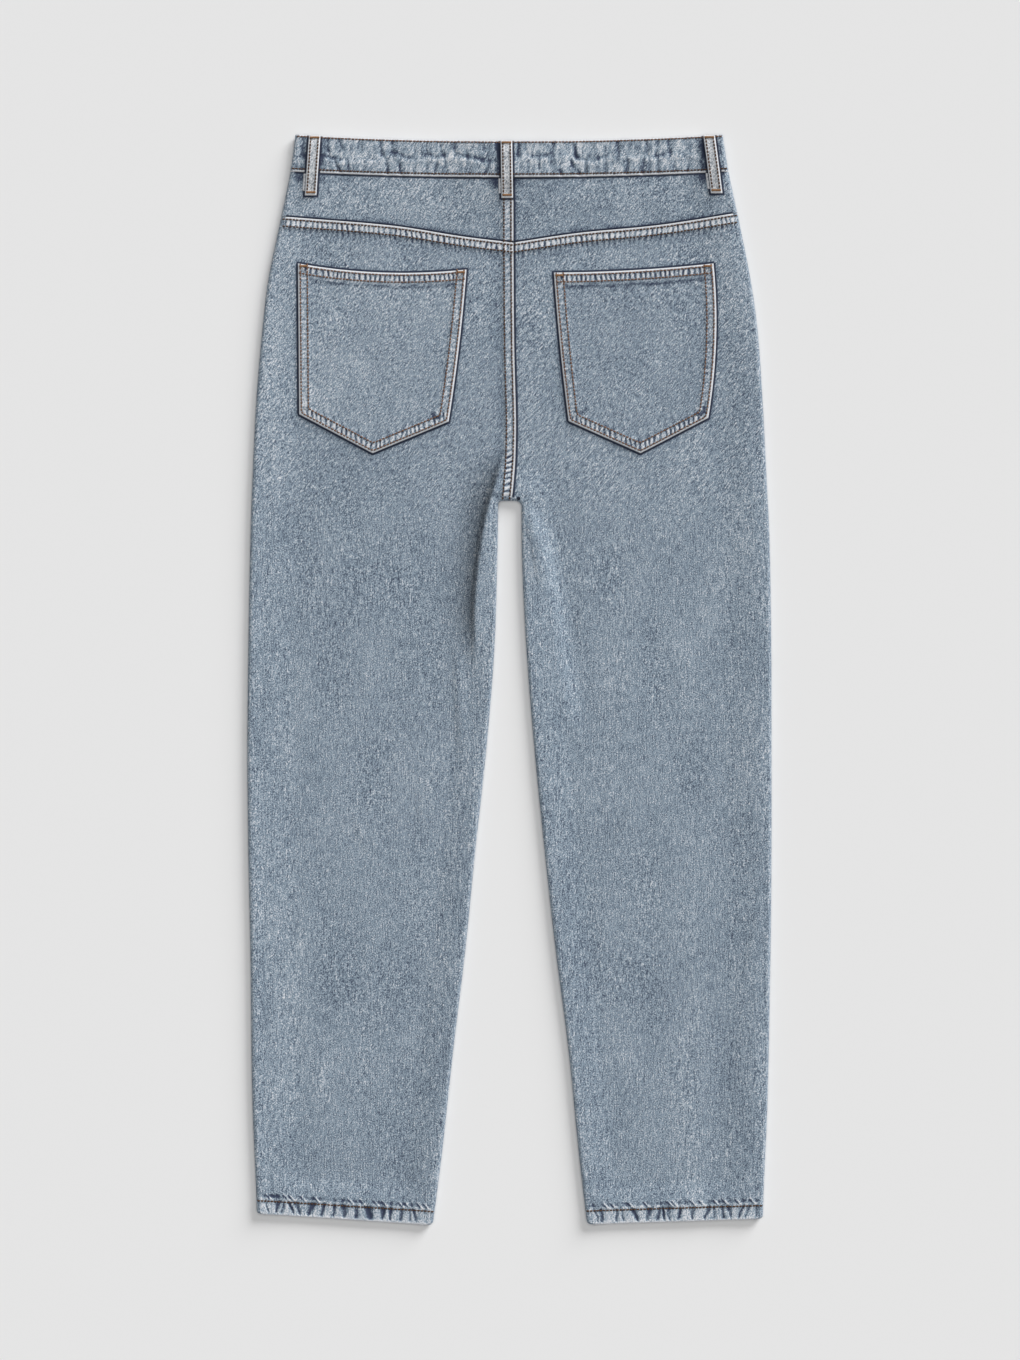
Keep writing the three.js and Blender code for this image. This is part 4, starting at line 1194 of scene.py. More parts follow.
class JeansStage(PropertyGroup):
    """Floor, light and camera."""

    floor: colour_setting("Floor", "Colour of the floor", "#EAEAEA")
    key: FloatProperty(
        name="Key light", description="Strength of the light from the upper right", default=3.75
    )
    key_size: FloatProperty(
        name="Key softness", description="Width of the key light as seen from the cloth",
        default=0.56, subtype="ANGLE",
    )
    over: FloatProperty(
        name="Overhead light", description="Strength of the light from above", default=1.32
    )
    over_size: FloatProperty(
        name="Overhead softness", description="Width of the light from above as seen from the cloth",
        default=1.0, subtype="ANGLE",
    )
    fill: FloatProperty(
        name="Fill light", description="Strength of the light from all round", default=0.12
    )
    distance: length_setting("Camera height", "Above the cloth", 6.0)


class JEANS_OT_back_panels(Operator):
    """Make the two back panels, each one piece from yoke to hem."""

    bl_idname = "jeans.back_panels"
    bl_label = "Back Panels"

    def execute(self, context):
        wall = context.scene.jeans_cloth.wall / MM
        for side in SIDES.values():
            seam_x = float(back_seam(CROTCH)) - side["to_middle"] * SEAM_GAP / 2
            places = inner_places(side, seam_x, LEG_ROWS)
            outer_x = outer_place(side, GAP_START_OUTER)["x"]

            def gap_line(x):
                share = (x - outer_x) / (seam_x - outer_x)
                return mix(GAP_START_OUTER, CROTCH + FOLD_RADIUS, share)

            close = CLOSE_COLUMNS[:-3]
            rows = [seat_row(side, lambda x, d=d: yoke_seam(side, x) - d) for d in close]
            for step in range(1, SEAT_ROWS):
                share = step / SEAT_ROWS
                rows.append(
                    seat_row(
                        side,
                        lambda x, s=share: mix(yoke_seam(side, x) - close[-1], gap_line(x), s),
                    )
                )
            seat_points = sum(len(row) for row in rows)
            leg_rows = [leg_row(side, place) for place in places]
            rows, marks = faced(side, rows + leg_rows, back_face)
            heights = [place.get("above_hem", NO_HEM) for place in places]
            above = np.concatenate([np.full(seat_points, NO_HEM), np.repeat(heights, len(leg_rows[0]))])
            # The first rows, at the yoke, are rounded as a seam, and the others as a hem
            at_yoke = np.arange(len(above)) < 3 * len(rows[0])
            seam_rounding = edge_rounding(marks["edge"] * (marks["edge"] < 2), 0.5) * 0.8
            rounding = np.where(at_yoke, seam_rounding, edge_rounding(above, HEM_ROUNDING))
            piece = shell(
                f"back_{side['name']}", rows, side["to_middle"], hem_wall(wall, above),
                finish_named("washed_denim", denim), rounding, marks,
            )
            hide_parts(f"back_panel_{side['name']}")
        return {"FINISHED"}


class JEANS_OT_yokes(Operator):
    """Make the two yokes between the back panels and the waistband."""

    bl_idname = "jeans.yokes"
    bl_label = "Yokes"

    def execute(self, context):
        wall = context.scene.jeans_cloth.wall / MM
        shares = np.linspace(1, 0, YOKE_ROWS)
        for side in SIDES.values():
            rows = [
                seat_row(
                    side,
                    lambda x, s=s: mix(yoke_seam(side, x) + SEAM_GAP, band_seam(x) - SEAM_GAP, s),
                )
                for s in shares
            ]
            rows, marks = faced(side, rows, yoke_face)
            piece = shell(
                f"back_yoke_{side['name']}", rows, side["to_middle"], wall,
                finish_named("washed_denim", denim), None, marks,
            )
            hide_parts(f"yoke_{side['name']}")
        return {"FINISHED"}


def pocket_point(cut, u, v):
    """Points of a pocket, from left to right and from its top down."""
    bottom_left, bottom_right, tip = cut["bottom_left"], cut["bottom_right"], cut["tip"]
    tip_share = (tip[0] - bottom_left[0]) / (bottom_right[0] - bottom_left[0])
    bulge = 4 * v * (1 - v)
    left = mix(cut["top_left"][0], bottom_left[0], v) + cut["left_bulge"] * bulge
    right = mix(cut["top_right"][0], bottom_right[0], v) + cut["right_bulge"] * bulge
    top = mix(cut["top_left"][1], cut["top_right"][1], u) + cut["top_dip"] * 4 * u * (1 - u)
    bottom = np.where(
        u < tip_share,
        mix(bottom_left[1], tip[1], u / tip_share),
        mix(tip[1], bottom_right[1], (u - tip_share) / (1 - tip_share)),
    )
    return mix(left, right, u), mix(top, bottom, v)


def pocket_distances(cut, x, y):
    """Distances inside a pocket from its top, and from its sides and point."""
    outline = pocket_outline(cut)
    rest = np.concatenate([outline[8:], outline[:1]])
    return chain_distance(outline[:9], x, y), chain_distance(rest, x, y)


def pocket_face(cut, x, y):
    """A patch pocket's outer face: turned edges, a hem, and puckers between its rows."""
    side = SIDES[cut["side"]]
    seed = side["pocket_seed"]
    from_top, from_edge = pocket_distances(cut, x, y)
    low = fade((y - cut["bottom_left"][1]) / 10)
    hem = fade((from_top - POCKET_HEM) / 1.5)
    turned = fade((from_edge - SECOND_ROW - 1.5) / 1.5)
    rise = 0.45 * np.maximum(hem, turned) + 0.2 * noise(x, y, 28, 34, seed)
    wear = 0.12 * noise(x, y, 24, 30, seed) + 0.1 * noise(x, y, 9, 12, seed + 5)
    wear -= cut["dye"]
    # The mark of the hem's hidden edge
    uneven = np.clip(0.75 + 0.6 * noise(x, y, 9, 9, seed + 7), 0, 1.3)
    hidden = from_top - SECOND_ROW - 4.6 - 0.8 * noise(x, 0, 7, 1, seed + 8)
    print_through = (1.7 * bell(hidden / 1.2) - 0.5 * bell((hidden + 2.6) / 1.4)) * uneven
    wear -= print_through * (1 - fade((from_edge - 8) / 4))
    # Valleys that run in from the turned edges at the point
    steps = ladder(x, from_edge, 1.6 * POCKET_PITCH, seed + 3)
    after = low * window(from_edge, SECOND_ROW + 1, SECOND_ROW + 3, 5)
    wear += (0.6 * steps - 0.25) * after
    sunk = grooves(from_edge, FIRST_ROW, SECOND_ROW) + grooves(from_top, FIRST_ROW, SECOND_ROW)
    edge = np.minimum(from_edge, from_top)
    rise -= 0.2 * sunk
    wear += 0.4 * window(edge, FIRST_ROW, SECOND_ROW, 1.0) - 0.4 * sunk
    for curl in POCKET_CURLS:
        turn = math.radians(curl["turn"])
        right, up = (x - curl["x"]) / curl["radius"], (y - curl["y"]) / curl["radius"]
        away = np.hypot(right, up)
        ahead = right * math.cos(turn) + up * math.sin(turn)
        arc = fade(0.5 + 0.9 * ahead) * bell((away - 1.0) / 0.34)
        rise += 0.3 * bell(away) - 0.2 * arc
        wear += curl["shade"] * (0.3 * bell(away / 0.7) - 1.3 * arc)
    lie = back_lie(side, x, y) + crease_rise(side, x, y)[0]
    at_top = from_top < from_edge
    marks = {
        "wear": wear,
        "edge": edge,
        "run": np.where(at_top | (low > 0.5), x, y) / POCKET_PITCH,
        "across": np.where(edge < SECOND_ROW + 0.4, edge, FAR),
        "drawn": np.where(at_top, 1.1, mix(0.28, 0.95, low)),
    }
    return lie + LAID_GAP + POCKET_WALL + POCKET_LIFT + rise * (1 - fade(edge / 1.2)), marks


class JEANS_OT_pockets(Operator):
    """Make the two patch pockets with their pointed lower edges."""

    bl_idname = "jeans.pockets"
    bl_label = "Back Pockets"

    def execute(self, context):
        ends = np.array([0, 0.0015, 0.005, 0.01, 0.0165, 0.025, 0.034, 0.044, 0.054, 0.064])
        columns = np.concatenate([ends, np.linspace(0.072, 0.928, 138), 1 - ends[::-1]])
        rows_down = np.concatenate([ends, np.linspace(0.075, 0.925, 74), 1 - ends[::-1]])
        u, v = np.meshgrid(columns, rows_down)
        for cut in POCKETS:
            x, y = pocket_point(cut, u, v)
            height, marks = pocket_face(cut, x, y)
            rows = list(np.stack([x, y, height], 2))
            rounding = edge_rounding(marks["edge"].ravel(), 0.55)
            piece = shell(
                f"pocket_{cut['side']}", rows, 1, POCKET_WALL,
                finish_named("washed_denim_pocket", denim, 0.04), rounding, marks,
            )
            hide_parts(f"back_pocket_{cut['side']}")
        return {"FINISHED"}


def band_row(share):
    """A line round the waistband, from its under end over the back to its upper end."""
    side_y = float(mix(band_seam(BAND_HALF), band_top(BAND_HALF), share))
    left = roll(outer_place(SIDES["left"], side_y), BAND_FOLD, BAND_BASE)
    right = roll(outer_place(SIDES["right"], side_y), BAND_FOLD, BAND_BASE)[::-1]

    def front_y(x):
        return mix(band_seam(x), front_band_top(x), share)

    def back_y(x):
        return mix(band_seam(x), band_top(x), share)

    under_x = np.linspace(LAP, left[0, 0], BAND_FRONT_COLUMNS)[:-1]
    under = np.stack([under_x, front_y(under_x), band_under(under_x)], 1)
    over_x = np.linspace(left[-1, 0], right[0, 0], BAND_BACK_COLUMNS)[1:-1]
    over_y = back_y(over_x)
    height, seen = band_face(over_x, over_y)
    over = np.stack([over_x, over_y, height], 1)
    last_x = np.linspace(right[-1, 0], -LAP, BAND_FRONT_COLUMNS)[1:]
    climb = (BAND_WALL + SEAM_GAP) * fade((last_x - LAP - LAP_CLEAR) / LAP_RAMP)
    last = np.stack([last_x, front_y(last_x), band_under(last_x) + climb], 1)
    row = np.concatenate([under, left, over, right, last])
    before, after = len(under) + len(left), len(right) + len(last)
    plain = {**PLAIN_MARKS, "edge": 0.5 + share * (BAND_TOP - BAND_SEAM)}
    marks = {
        name: np.concatenate([np.full(before, plain[name]), values, np.full(after, plain[name])])
        for name, values in seen.items()
    }
    return row, marks


class JEANS_OT_waistband(Operator):
    """Make the waistband, one doubled strip whose ends lap at the front."""

    bl_idname = "jeans.waistband"
    bl_label = "Waistband"

    def execute(self, context):
        ends = np.array([0, 0.004, 0.012, 0.024, 0.038, 0.055, 0.075, 0.1])
        shares = np.concatenate([1 - ends, np.linspace(0.88, 0.12, 22), ends[::-1]])
        made = [band_row(share) for share in shares]
        rows = [row for row, _ in made]
        marks = {name: np.concatenate([mark[name] for _, mark in made]) for name in made[0][1]}
        from_edge = np.repeat(np.minimum(shares, 1 - shares), len(rows[0])) * (BAND_TOP - BAND_SEAM)
        piece = shell(
            "band", rows, 1, BAND_WALL, finish_named("washed_denim_band", denim, 0.03),
            edge_rounding(from_edge, 0.9), marks,
        )
        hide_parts("waistband")
        return {"FINISHED"}


def loop_height(cut, x, y):
    """Height of a belt loop's outer face."""
    top_y = float(band_top(cut["top_x"]))
    share = np.clip((y - cut["bottom_y"]) / (top_y - cut["bottom_y"]), 0, 1)
    stand = along(LOOP_PATH, "share", "stand", share)
    over_band = fade((band_seam(x) - y) / LOOP_CLIMB)
    yoke_y = np.minimum(y, band_seam(x))
    yoke = np.where(
        x < back_seam(yoke_y), back_lie(SIDES["left"], x, yoke_y), back_lie(SIDES["right"], x, yoke_y)
    ) + FELLED
    under = mix(yoke, np.maximum(yoke, band_lie(x, y)), over_band)
    return under + LAID_GAP + stand + LOOP_WALL


def loop_fold(cut, finish):
    """The turned end of a belt loop, which comes out at its left side."""
    side = SIDES["left"] if cut["bottom_x"] < 0 else SIDES["right"]
    across, share = np.meshgrid(np.array([0, 0.1, 0.3, 0.55, 0.8, 1]), np.linspace(1, 0, 9))
    low = cut["bottom_y"] + LOOP_FOLD_START
    y = mix(low, float(band_seam(cut["bottom_x"])) - LOOP_FOLD_END, share)
    x = loop_middle(cut, y) - LOOP_WIDTH / 2 - SEAM_GAP - LOOP_FOLD_WIDTH * (1 - across)
    height = yoke_face(side, x, y)[0] + LAID_GAP + LOOP_FOLD_WALL
    edge = LOOP_FOLD_WIDTH * across
    rows = list(np.stack([x, y, height], 2))
    return shell(
        f"loop_fold_{cut['name']}", rows, 1, LOOP_FOLD_WALL, finish,
        edge_rounding(edge.ravel(), 0.4), {"edge": edge + 0.5},
    )


class JEANS_OT_belt_loops(Operator):
    """Make the three belt loops of the back and the two of the front."""

    bl_idname = "jeans.belt_loops"
    bl_label = "Belt Loops"

    def execute(self, context):
        finish = finish_named("washed_denim_loop", denim, 0.27, 0.55)
        across = LOOP_WIDTH * np.array([-0.5, -0.488, -0.45, -0.38, -0.3, -0.22, -0.12, 0])
        across = np.concatenate([across, -across[:-1][::-1]])
        ends = np.array([0, 0.003, 0.009, 0.018, 0.03])
        shares = np.concatenate([1 - ends, np.linspace(0.955, 0.045, 44), ends[::-1]])
        for number, cut in enumerate(BACK_LOOPS):
            top_y = float(band_top(cut["top_x"]))
            offset, share = np.meshgrid(across, shares)
            y = mix(cut["bottom_y"], top_y, share)
            x = mix(cut["bottom_x"], cut["top_x"], share) + offset
            from_side = LOOP_WIDTH / 2 - np.abs(offset)
            from_end = np.minimum(share, 1 - share) * (top_y - cut["bottom_y"])
            turned = 0.3 * bell((from_side - 1.2) / 1.1) + 0.12 * noise(x, y, 4, 6, 101 + number)
            height = loop_height(cut, x, y) + turned
            rows = list(np.stack([x, y, height], 2))
            edge = np.minimum(from_side, from_end) - 0.3
            wear = 0.22 * noise(x, y, 3, 7, 105 + number) + 0.1
            piece = shell(
                f"loop_{cut['name']}", rows, 1, LOOP_WALL, finish,
                edge_rounding(edge.ravel() + 0.3, 0.75), {"wear": wear, "edge": edge},
            )
            piece = joined(piece, loop_fold(cut, finish))
            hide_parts(f"belt_loop_{cut['name']}")
        for cut in FRONT_LOOPS:
            low = float(band_seam(cut["x"])) + FRONT_LOOP_EDGE
            high = float(front_band_top(cut["x"])) - FRONT_LOOP_EDGE
            offset, y = np.meshgrid(across, mix(high, low, np.linspace(0, 1, 24)))
            edge = np.minimum(LOOP_WIDTH / 2 - np.abs(offset), np.minimum(y - low, high - y))
            rows = list(np.stack([cut["x"] + offset, y, np.zeros(y.shape)], 2))
            piece = shell(
                f"loop_front_{cut['name']}", rows, -1, FRONT_LOOP_WALL, finish,
                edge_rounding(edge.ravel(), 0.45), {"edge": edge},
            )
            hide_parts(f"belt_loop_front_{cut['name']}")
        return {"FINISHED"}


def front_edge(side, y):
    place = outer_place(side, y)
    inward = WRAP + SEAM_GAP
    return np.array([place["x"] + place["nx"] * inward, place["y"] + place["ny"] * inward])


def front_edge_x(side, y):
    """The front's side seam at a height."""
    fold_y = y
    for _ in range(4):
        fold_y += y - front_edge(side, fold_y)[1]
    return front_edge(side, fold_y)[0]


def scoop_point(side, share):
    """The front pocket's opening, from the waistband round to the side seam."""
    top_x = front_edge_x(side, BAND_SEAM) + side["to_middle"] * SCOOP_WIDTH
    top = float(band_seam(top_x)) - SEAM_GAP
    angle = math.pi / 2 * share
    y = top - SCOOP_DEPTH * math.sin(angle)
    return np.array([front_edge_x(side, y) + side["to_middle"] * SCOOP_WIDTH * math.cos(angle), y])


class JEANS_OT_front_panels(Operator):
    """Make the two fronts, which lie flat under the back."""

    bl_idname = "jeans.front_panels"
    bl_label = "Front Panels"

    def execute(self, context):
        wall = context.scene.jeans_cloth.wall / MM
        finish = finish_named("washed_denim", denim)
        near = np.array([0, 0.003, 0.008, 0.016, 0.03])
        columns = np.concatenate([near, np.linspace(0.05, 0.95, 60), 1 - near[::-1]])
        for side in SIDES.values():
            seam_x = -side["to_middle"] * SEAM_GAP / 2
            places = inner_places(side, seam_x, FRONT_LEG_ROWS)
            top = float(band_seam(seam_x)) - SEAM_GAP
            bottom = CROTCH + WRAP + SEAM_GAP

            def row_between(start, end):
                return mix(np.asarray(start), np.asarray(end), columns[:, None])

            rows = []
            for step in range(SCOOP_STEPS + 1):
                share = step / SCOOP_STEPS
                middle = (seam_x, mix(top, bottom, SCOOP_SHARE * share))
                rows.append(row_between(scoop_point(side, share), middle))
            rows[0][:, 1] = band_seam(rows[0][:, 0]) - SEAM_GAP
            scoop_end = rows[-1][0, 1]
            for share in np.linspace(0, 1, FRONT_HIP_ROWS)[1:-1]:
                outer = front_edge(side, mix(scoop_end, GAP_START_OUTER, share))
                middle = (seam_x, mix(mix(top, bottom, SCOOP_SHARE), bottom, share))
                rows.append(row_between(outer, middle))
            seat_rows = len(rows)
            for place in places:
                inward = WRAP + SEAM_GAP
                inner = (place["x"] + place["nx"] * inward, place["y"] + place["ny"] * inward)
                rows.append(row_between(front_edge(side, place["outer_y"]), inner))
            heights = [NO_HEM] * seat_rows + [place.get("above_hem", NO_HEM) for place in places]
            above = np.repeat(heights, len(columns))
            flat = np.concatenate(rows)
            x, y = flat[:, 0], flat[:, 1]
            steps = ladder(x, above, HEM_PITCH, 131)
            wear = 0.14 * noise(x, y, 30, 80, 133) + steps * window(above, 2.4, HEM_ROW - 1.6, 2.2)
            share = np.tile(columns, len(rows))
            width = np.repeat([np.linalg.norm(row[-1] - row[0]) for row in rows], len(columns))
            edge = np.minimum(np.minimum(share, 1 - share) * width, above * 0.8) + 0.9
            points = [np.column_stack([row, np.zeros(len(row))]) for row in rows]
            piece = shell(
                f"front_{side['name']}", points, -side["to_middle"], hem_wall(wall, above), finish,
                edge_rounding(above, HEM_ROUNDING), {"wear": wear, "edge": edge},
            )
            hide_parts(f"front_panel_{side['name']}")
        return {"FINISHED"}


class JEANS_OT_front_facings(Operator):
    """Make the cloth that shows in the openings of the front pockets."""

    bl_idname = "jeans.front_facings"
    bl_label = "Front Facings"

    def execute(self, context):
        wall = context.scene.jeans_cloth.wall / MM
        for side in SIDES.values():
            rows = []
            for share in np.linspace(0, FACING_END, FACING_ROWS):
                scoop = scoop_point(side, share)
                scoop[0] -= side["to_middle"] * 2 * SEAM_GAP
                outer_x = front_edge_x(side, scoop[1]) + side["to_middle"] * SEAM_GAP
                across = np.linspace(0, 1, FACING_COLUMNS)[:, None]
                flat = mix(np.array([outer_x, scoop[1]]), scoop, across)
                rows.append(np.column_stack([flat, np.zeros(FACING_COLUMNS)]))
            top = rows[0].copy()
            top[:, 1] = band_seam(top[:, 0]) - SEAM_GAP
            rows = [top] + rows[1:]
            piece = shell(
                f"facing_{side['name']}", rows, -side["to_middle"], wall,
                finish_named("washed_denim", denim),
            )
            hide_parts(f"front_facing_{side['name']}")
        return {"FINISHED"}


class JEANS_OT_button(Operator):
    """Make the waist button's pressed cap, face down."""

    bl_idname = "jeans.button"
    bl_label = "Waist Button"

    def execute(self, context):
        low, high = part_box("waist_button")
        middle = [(a + b) / 2 for a, b in zip(low, high)]
        radius = (high[0] - low[0]) / 2
        bpy.ops.object.select_all(action="DESELECT")
        bpy.ops.mesh.primitive_cylinder_add(
            vertices=64, radius=radius, depth=high[2] - low[2], location=middle, end_fill_type="NGON"
        )
        cap = bpy.context.object
        cap.name = cap.data.name = "button_cap"
        bpy.ops.object.transform_apply(location=True)
        bpy.ops.object.mode_set(mode="EDIT")
        bpy.ops.mesh.select_all(action="DESELECT")
        bpy.ops.object.mode_set(mode="OBJECT")
        for face in cap.data.polygons:
            face.select = face.normal.z < -0.9
        bpy.ops.object.mode_set(mode="EDIT")
        # A raised rim, a step down, a level ring, and a step up to the middle
        for inset, depth in ((0.0016, 0.0), (0.0005, -0.0003), (0.0028, 0.0), (0.0005, 0.00025)):
            bpy.ops.mesh.inset(thickness=inset, depth=depth)
        bpy.ops.object.mode_set(mode="OBJECT")
        bevel = cap.modifiers.new("rounded", "BEVEL")
        bevel.width = 0.0003
        bevel.segments = 3
        bevel.limit_method = "ANGLE"
        bpy.ops.object.modifier_apply(modifier=bevel.name)
        bpy.ops.object.shade_smooth_by_angle(angle=math.radians(40))
        cap.data.materials.append(finish_named("antique_brass", button_finish))
        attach(cap, "root")
        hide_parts("waist_button")
        return {"FINISHED"}


# One stitch: shares of its length, its girth there, and how far it stands up
STITCH = table(
    "along girth up", (-0.5, 0.45, -0.55), (-0.3, 1.0, 0.1), (0.3, 1.0, 0.1), (0.5, 0.45, -0.55),
)
STITCH_SIDES = 6


def stitch_mesh(name, centres, ways, ups, lengths, width, finish):
    """Stitches as short bowed threads, joined in one mesh."""
    count = len(centres)
    beside = np.cross(ways, ups)
    beside /= np.linalg.norm(beside, axis=1, keepdims=True)
    angle = 2 * math.pi * np.arange(STITCH_SIDES) / STITCH_SIDES
    rings = len(STITCH["along"])
    points = np.empty((count, rings, STITCH_SIDES, 3))
    for ring in range(rings):
        middle = centres + ways * (lengths * STITCH["along"][ring])[:, None]
        middle = middle + ups * (STITCH["up"][ring] * width / 2)
        girth = STITCH["girth"][ring] * width / 2
        for k in range(STITCH_SIDES):
            out = beside * math.cos(angle[k]) + ups * math.sin(angle[k])
            points[:, ring, k] = middle + out * girth
    one = []
    for ring in range(rings - 1):
        for k in range(STITCH_SIDES):
            after = (k + 1) % STITCH_SIDES
            here, there = ring * STITCH_SIDES, (ring + 1) * STITCH_SIDES
            one.append((here + k, there + k, there + after, here + after))
    caps = []
    for k in range(1, STITCH_SIDES // 2):
        caps.append((k - 1, k, STITCH_SIDES - k - 1, STITCH_SIDES - k))
    last = (rings - 1) * STITCH_SIDES
    one += caps + [tuple(last + i for i in cap[::-1]) for cap in caps]
    each = rings * STITCH_SIDES
    faces = (np.array(one)[None] + each * np.arange(count)[:, None, None]).reshape(-1, 4)
    return piece_from(name, points.reshape(-1, 3), faces, finish)


def reach_along(points):
    """How far each point of a line is from its start, along it."""
    steps = np.linalg.norm(np.diff(points, axis=0), axis=1)
    return np.concatenate([[0], np.cumsum(steps)])


def sewn(line, stitch):
    """Places, ways and lengths of the stitches along a line of points."""
    reach = reach_along(line)
    count = max(1, int(round(reach[-1] / stitch)))
    cuts = np.linspace(0, reach[-1], count + 1)
    ends = np.stack([np.interp(cuts, reach, line[:, k]) for k in range(3)], 1)
    ways = np.diff(ends, axis=0)
    lengths = np.linalg.norm(ways, axis=1)
    return (ends[1:] + ends[:-1]) / 2, ways / lengths[:, None], lengths


def inset_chain(points, distance):
    """A chain of points moved sideways to its left by a distance, its corners kept sharp."""
    way = np.diff(points, axis=0)
    way /= np.linalg.norm(way, axis=1, keepdims=True)
    left = np.stack([-way[:, 1], way[:, 0]], 1)
    first, last = left[0], left[-1]
    corner = left[1:] + left[:-1]
    corner /= (corner * left[1:]).sum(1, keepdims=True)
    moves = np.concatenate([[first], corner, [last]])
    return points + moves * distance


def dense(points):
    """More points along straight stretches, about one in each millimetre."""
    reach = reach_along(points)
    at = np.linspace(0, reach[-1], max(2, int(reach[-1])))
    return np.stack([np.interp(at, reach, points[:, k]) for k in range(2)], 1)


def stitch_lines():
    """All rows of stitches on the back: the thread's colour and a line of points for each."""
    lines = []
    for side in SIDES.values():
        name = side["name"]
        middle = float(back_seam(420.0)) - side["to_middle"] * SEAM_GAP
        outer = outer_place(side, 446)["x"] + side["to_middle"] * 0.5
        x = np.linspace(outer, middle, 400)
        for row in (FIRST_ROW, SECOND_ROW):
            y = yoke_seam(side, x) - row
            lines.append(("brown", x, y, back_face(side, x, y)[0]))
        inner = float(along(INNER_FOLDS, "y", name, side["hem_inner"] + HEM_ROW))
        outer = float(along(OUTER_FOLDS, "y", name, side["hem_outer"] + HEM_ROW))
        x = np.linspace(outer + side["to_middle"] * 0.6, inner - side["to_middle"] * 0.6, 300)
        y = hem_edge(side, x) + HEM_ROW
        lines.append(("brown", x, y, back_face(side, x, y)[0]))
    left = SIDES["left"]
    seam_top = float(yoke_seam(left, 3.5))
    for row in (FIRST_ROW, SECOND_ROW):
        for high, low, face in (
            (seam_top - 1, CROTCH + 1, back_face), (482.0, seam_top + 0.5, yoke_face),
        ):
            y = np.linspace(high, low, 300)
            x = back_seam(y) - SEAM_GAP / 2 - row
            lines.append(("brown", x, y, face(left, x, y)[0]))
    for beside in (-0.9, 0.0, 0.9):
        y = np.linspace(GAP_KNOT[1] - 1.8, GAP_KNOT[1] + 1.8, 8)
        x = np.full(8, GAP_KNOT[0] + beside)
        lines.append(("navy", x, y, back_face(SIDES["right"], x, y)[0] + KNOT_RISE))
    x = np.linspace(-BAND_HALF + 1, BAND_HALF - 1, 600)
    y = band_seam(x) + BAND_ROW
    lines.append(("brown", x, y, band_face(x, y)[0]))
    x = np.linspace(-204, 204, 600)
    y = band_top(x) - BAND_TOP_ROW
    lines.append(("tan", x, y, band_face(x, y)[0]))
    for cut in POCKETS:
        outline = pocket_outline(cut)
        top, rest = outline[:9], np.concatenate([outline[8:], outline[:1]])
        for row in (FIRST_ROW, SECOND_ROW):
            line = dense(inset_chain(top, -row))
            inside = (line[:, 0] > line[0, 0] + 1.2) & (line[:, 0] < line[-1, 0] - 1.2)
            x, y = line[inside].T
            lines.append(("tan", x, y, pocket_face(cut, x, y)[0]))
            line = dense(inset_chain(rest, -row))
            x, y = line.T
            lines.append(("tan", x, y, pocket_face(cut, x, y)[0]))
    for cut in BACK_LOOPS:
        top_y = float(band_top(cut["top_x"]))
        for way in (-1, 1):
            y = np.linspace(top_y - 1.0, cut["bottom_y"] + 1.5, 120)
            x = loop_middle(cut, y) + way * (LOOP_WIDTH / 2 - LOOP_ROW)
            lines.append(("brown", x, y, loop_height(cut, x, y) + LOOP_STITCH_RISE))
    return lines


def front_stitch_lines():
    """All rows of stitches on the front, which lies underneath."""
    lines = []
    for side in SIDES.values():
        name, inward = side["name"], side["to_middle"]
        outer = float(along(OUTER_FOLDS, "y", name, side["hem_outer"] + HEM_ROW))
        inner = float(along(INNER_FOLDS, "y", name, side["hem_inner"] + HEM_ROW))
        x = np.linspace(outer + inward * (WRAP + 1), inner - inward * (WRAP + 1), 200)
        lines.append(("brown", x, hem_edge(side, x) + HEM_ROW))
        opening = np.array([scoop_point(side, share) for share in np.linspace(0.02, 0.98, 40)])
        for row in (FIRST_ROW, SECOND_ROW):
            line = dense(inset_chain(opening, inward * row))
            lines.append(("brown", *line.T))
    top = float(band_seam(0.0)) - 1.0
    turn = np.linspace(0, math.pi / 2, 24)
    for row in (0.0, FLY_ROWS):
        reach = FLY_WIDTH - row
        curve_y = FLY_END + row + FLY_TURN * (1 - np.sin(turn))
        curve_x = -reach * np.cos(turn) - FIRST_ROW * np.sin(turn)
        straight_y = np.linspace(top, FLY_END + row + FLY_TURN, 60)[:-1]
        x = np.concatenate([np.full(59, -reach), curve_x])
        lines.append(("brown", x, np.concatenate([straight_y, curve_y])))
    for row in (FIRST_ROW, SECOND_ROW):
        y = np.linspace(FLY_END - 3, CROTCH + WRAP + 2, 80)
        lines.append(("brown", np.full(80, -row), y))
    return lines


class JEANS_OT_stitching(Operator):
    """Sew the rows of stitches."""

    bl_idname = "jeans.stitching"
    bl_label = "Stitching"

    def execute(self, context):
        thread = context.scene.jeans_thread
        width, stitch = thread.width / MM, thread.stitch / MM
        made = {"brown": [], "tan": [], "navy": []}
        for colour, x, y, z in stitch_lines():
            made[colour].append((*sewn(np.stack([x, y, z], 1), stitch), 1.0))
        for colour, x, y in front_stitch_lines():
            made[colour].append((*sewn(np.stack([x, y, np.zeros(len(x))], 1), stitch), -1.0))
        for colour, runs in made.items():
            centres, ways, lengths = (np.concatenate([run[k] for run in runs]) for k in range(3))
            ups = np.zeros((len(centres), 3))
            ups[:, 2] = np.concatenate([np.full(len(run[0]), run[3]) for run in runs])
            lift = np.where(ups[:, 2:] > 0, STITCH_LIFT, UNDER_STITCH_LIFT)
            finish = finish_named(f"thread_{colour}", thread_finish, getattr(thread, colour))
            piece = stitch_mesh(
                f"stitches_{colour}", centres + ups * width * lift, ways, ups,
                lengths * STITCH_SHARE, width, finish,
            )
        return {"FINISHED"}


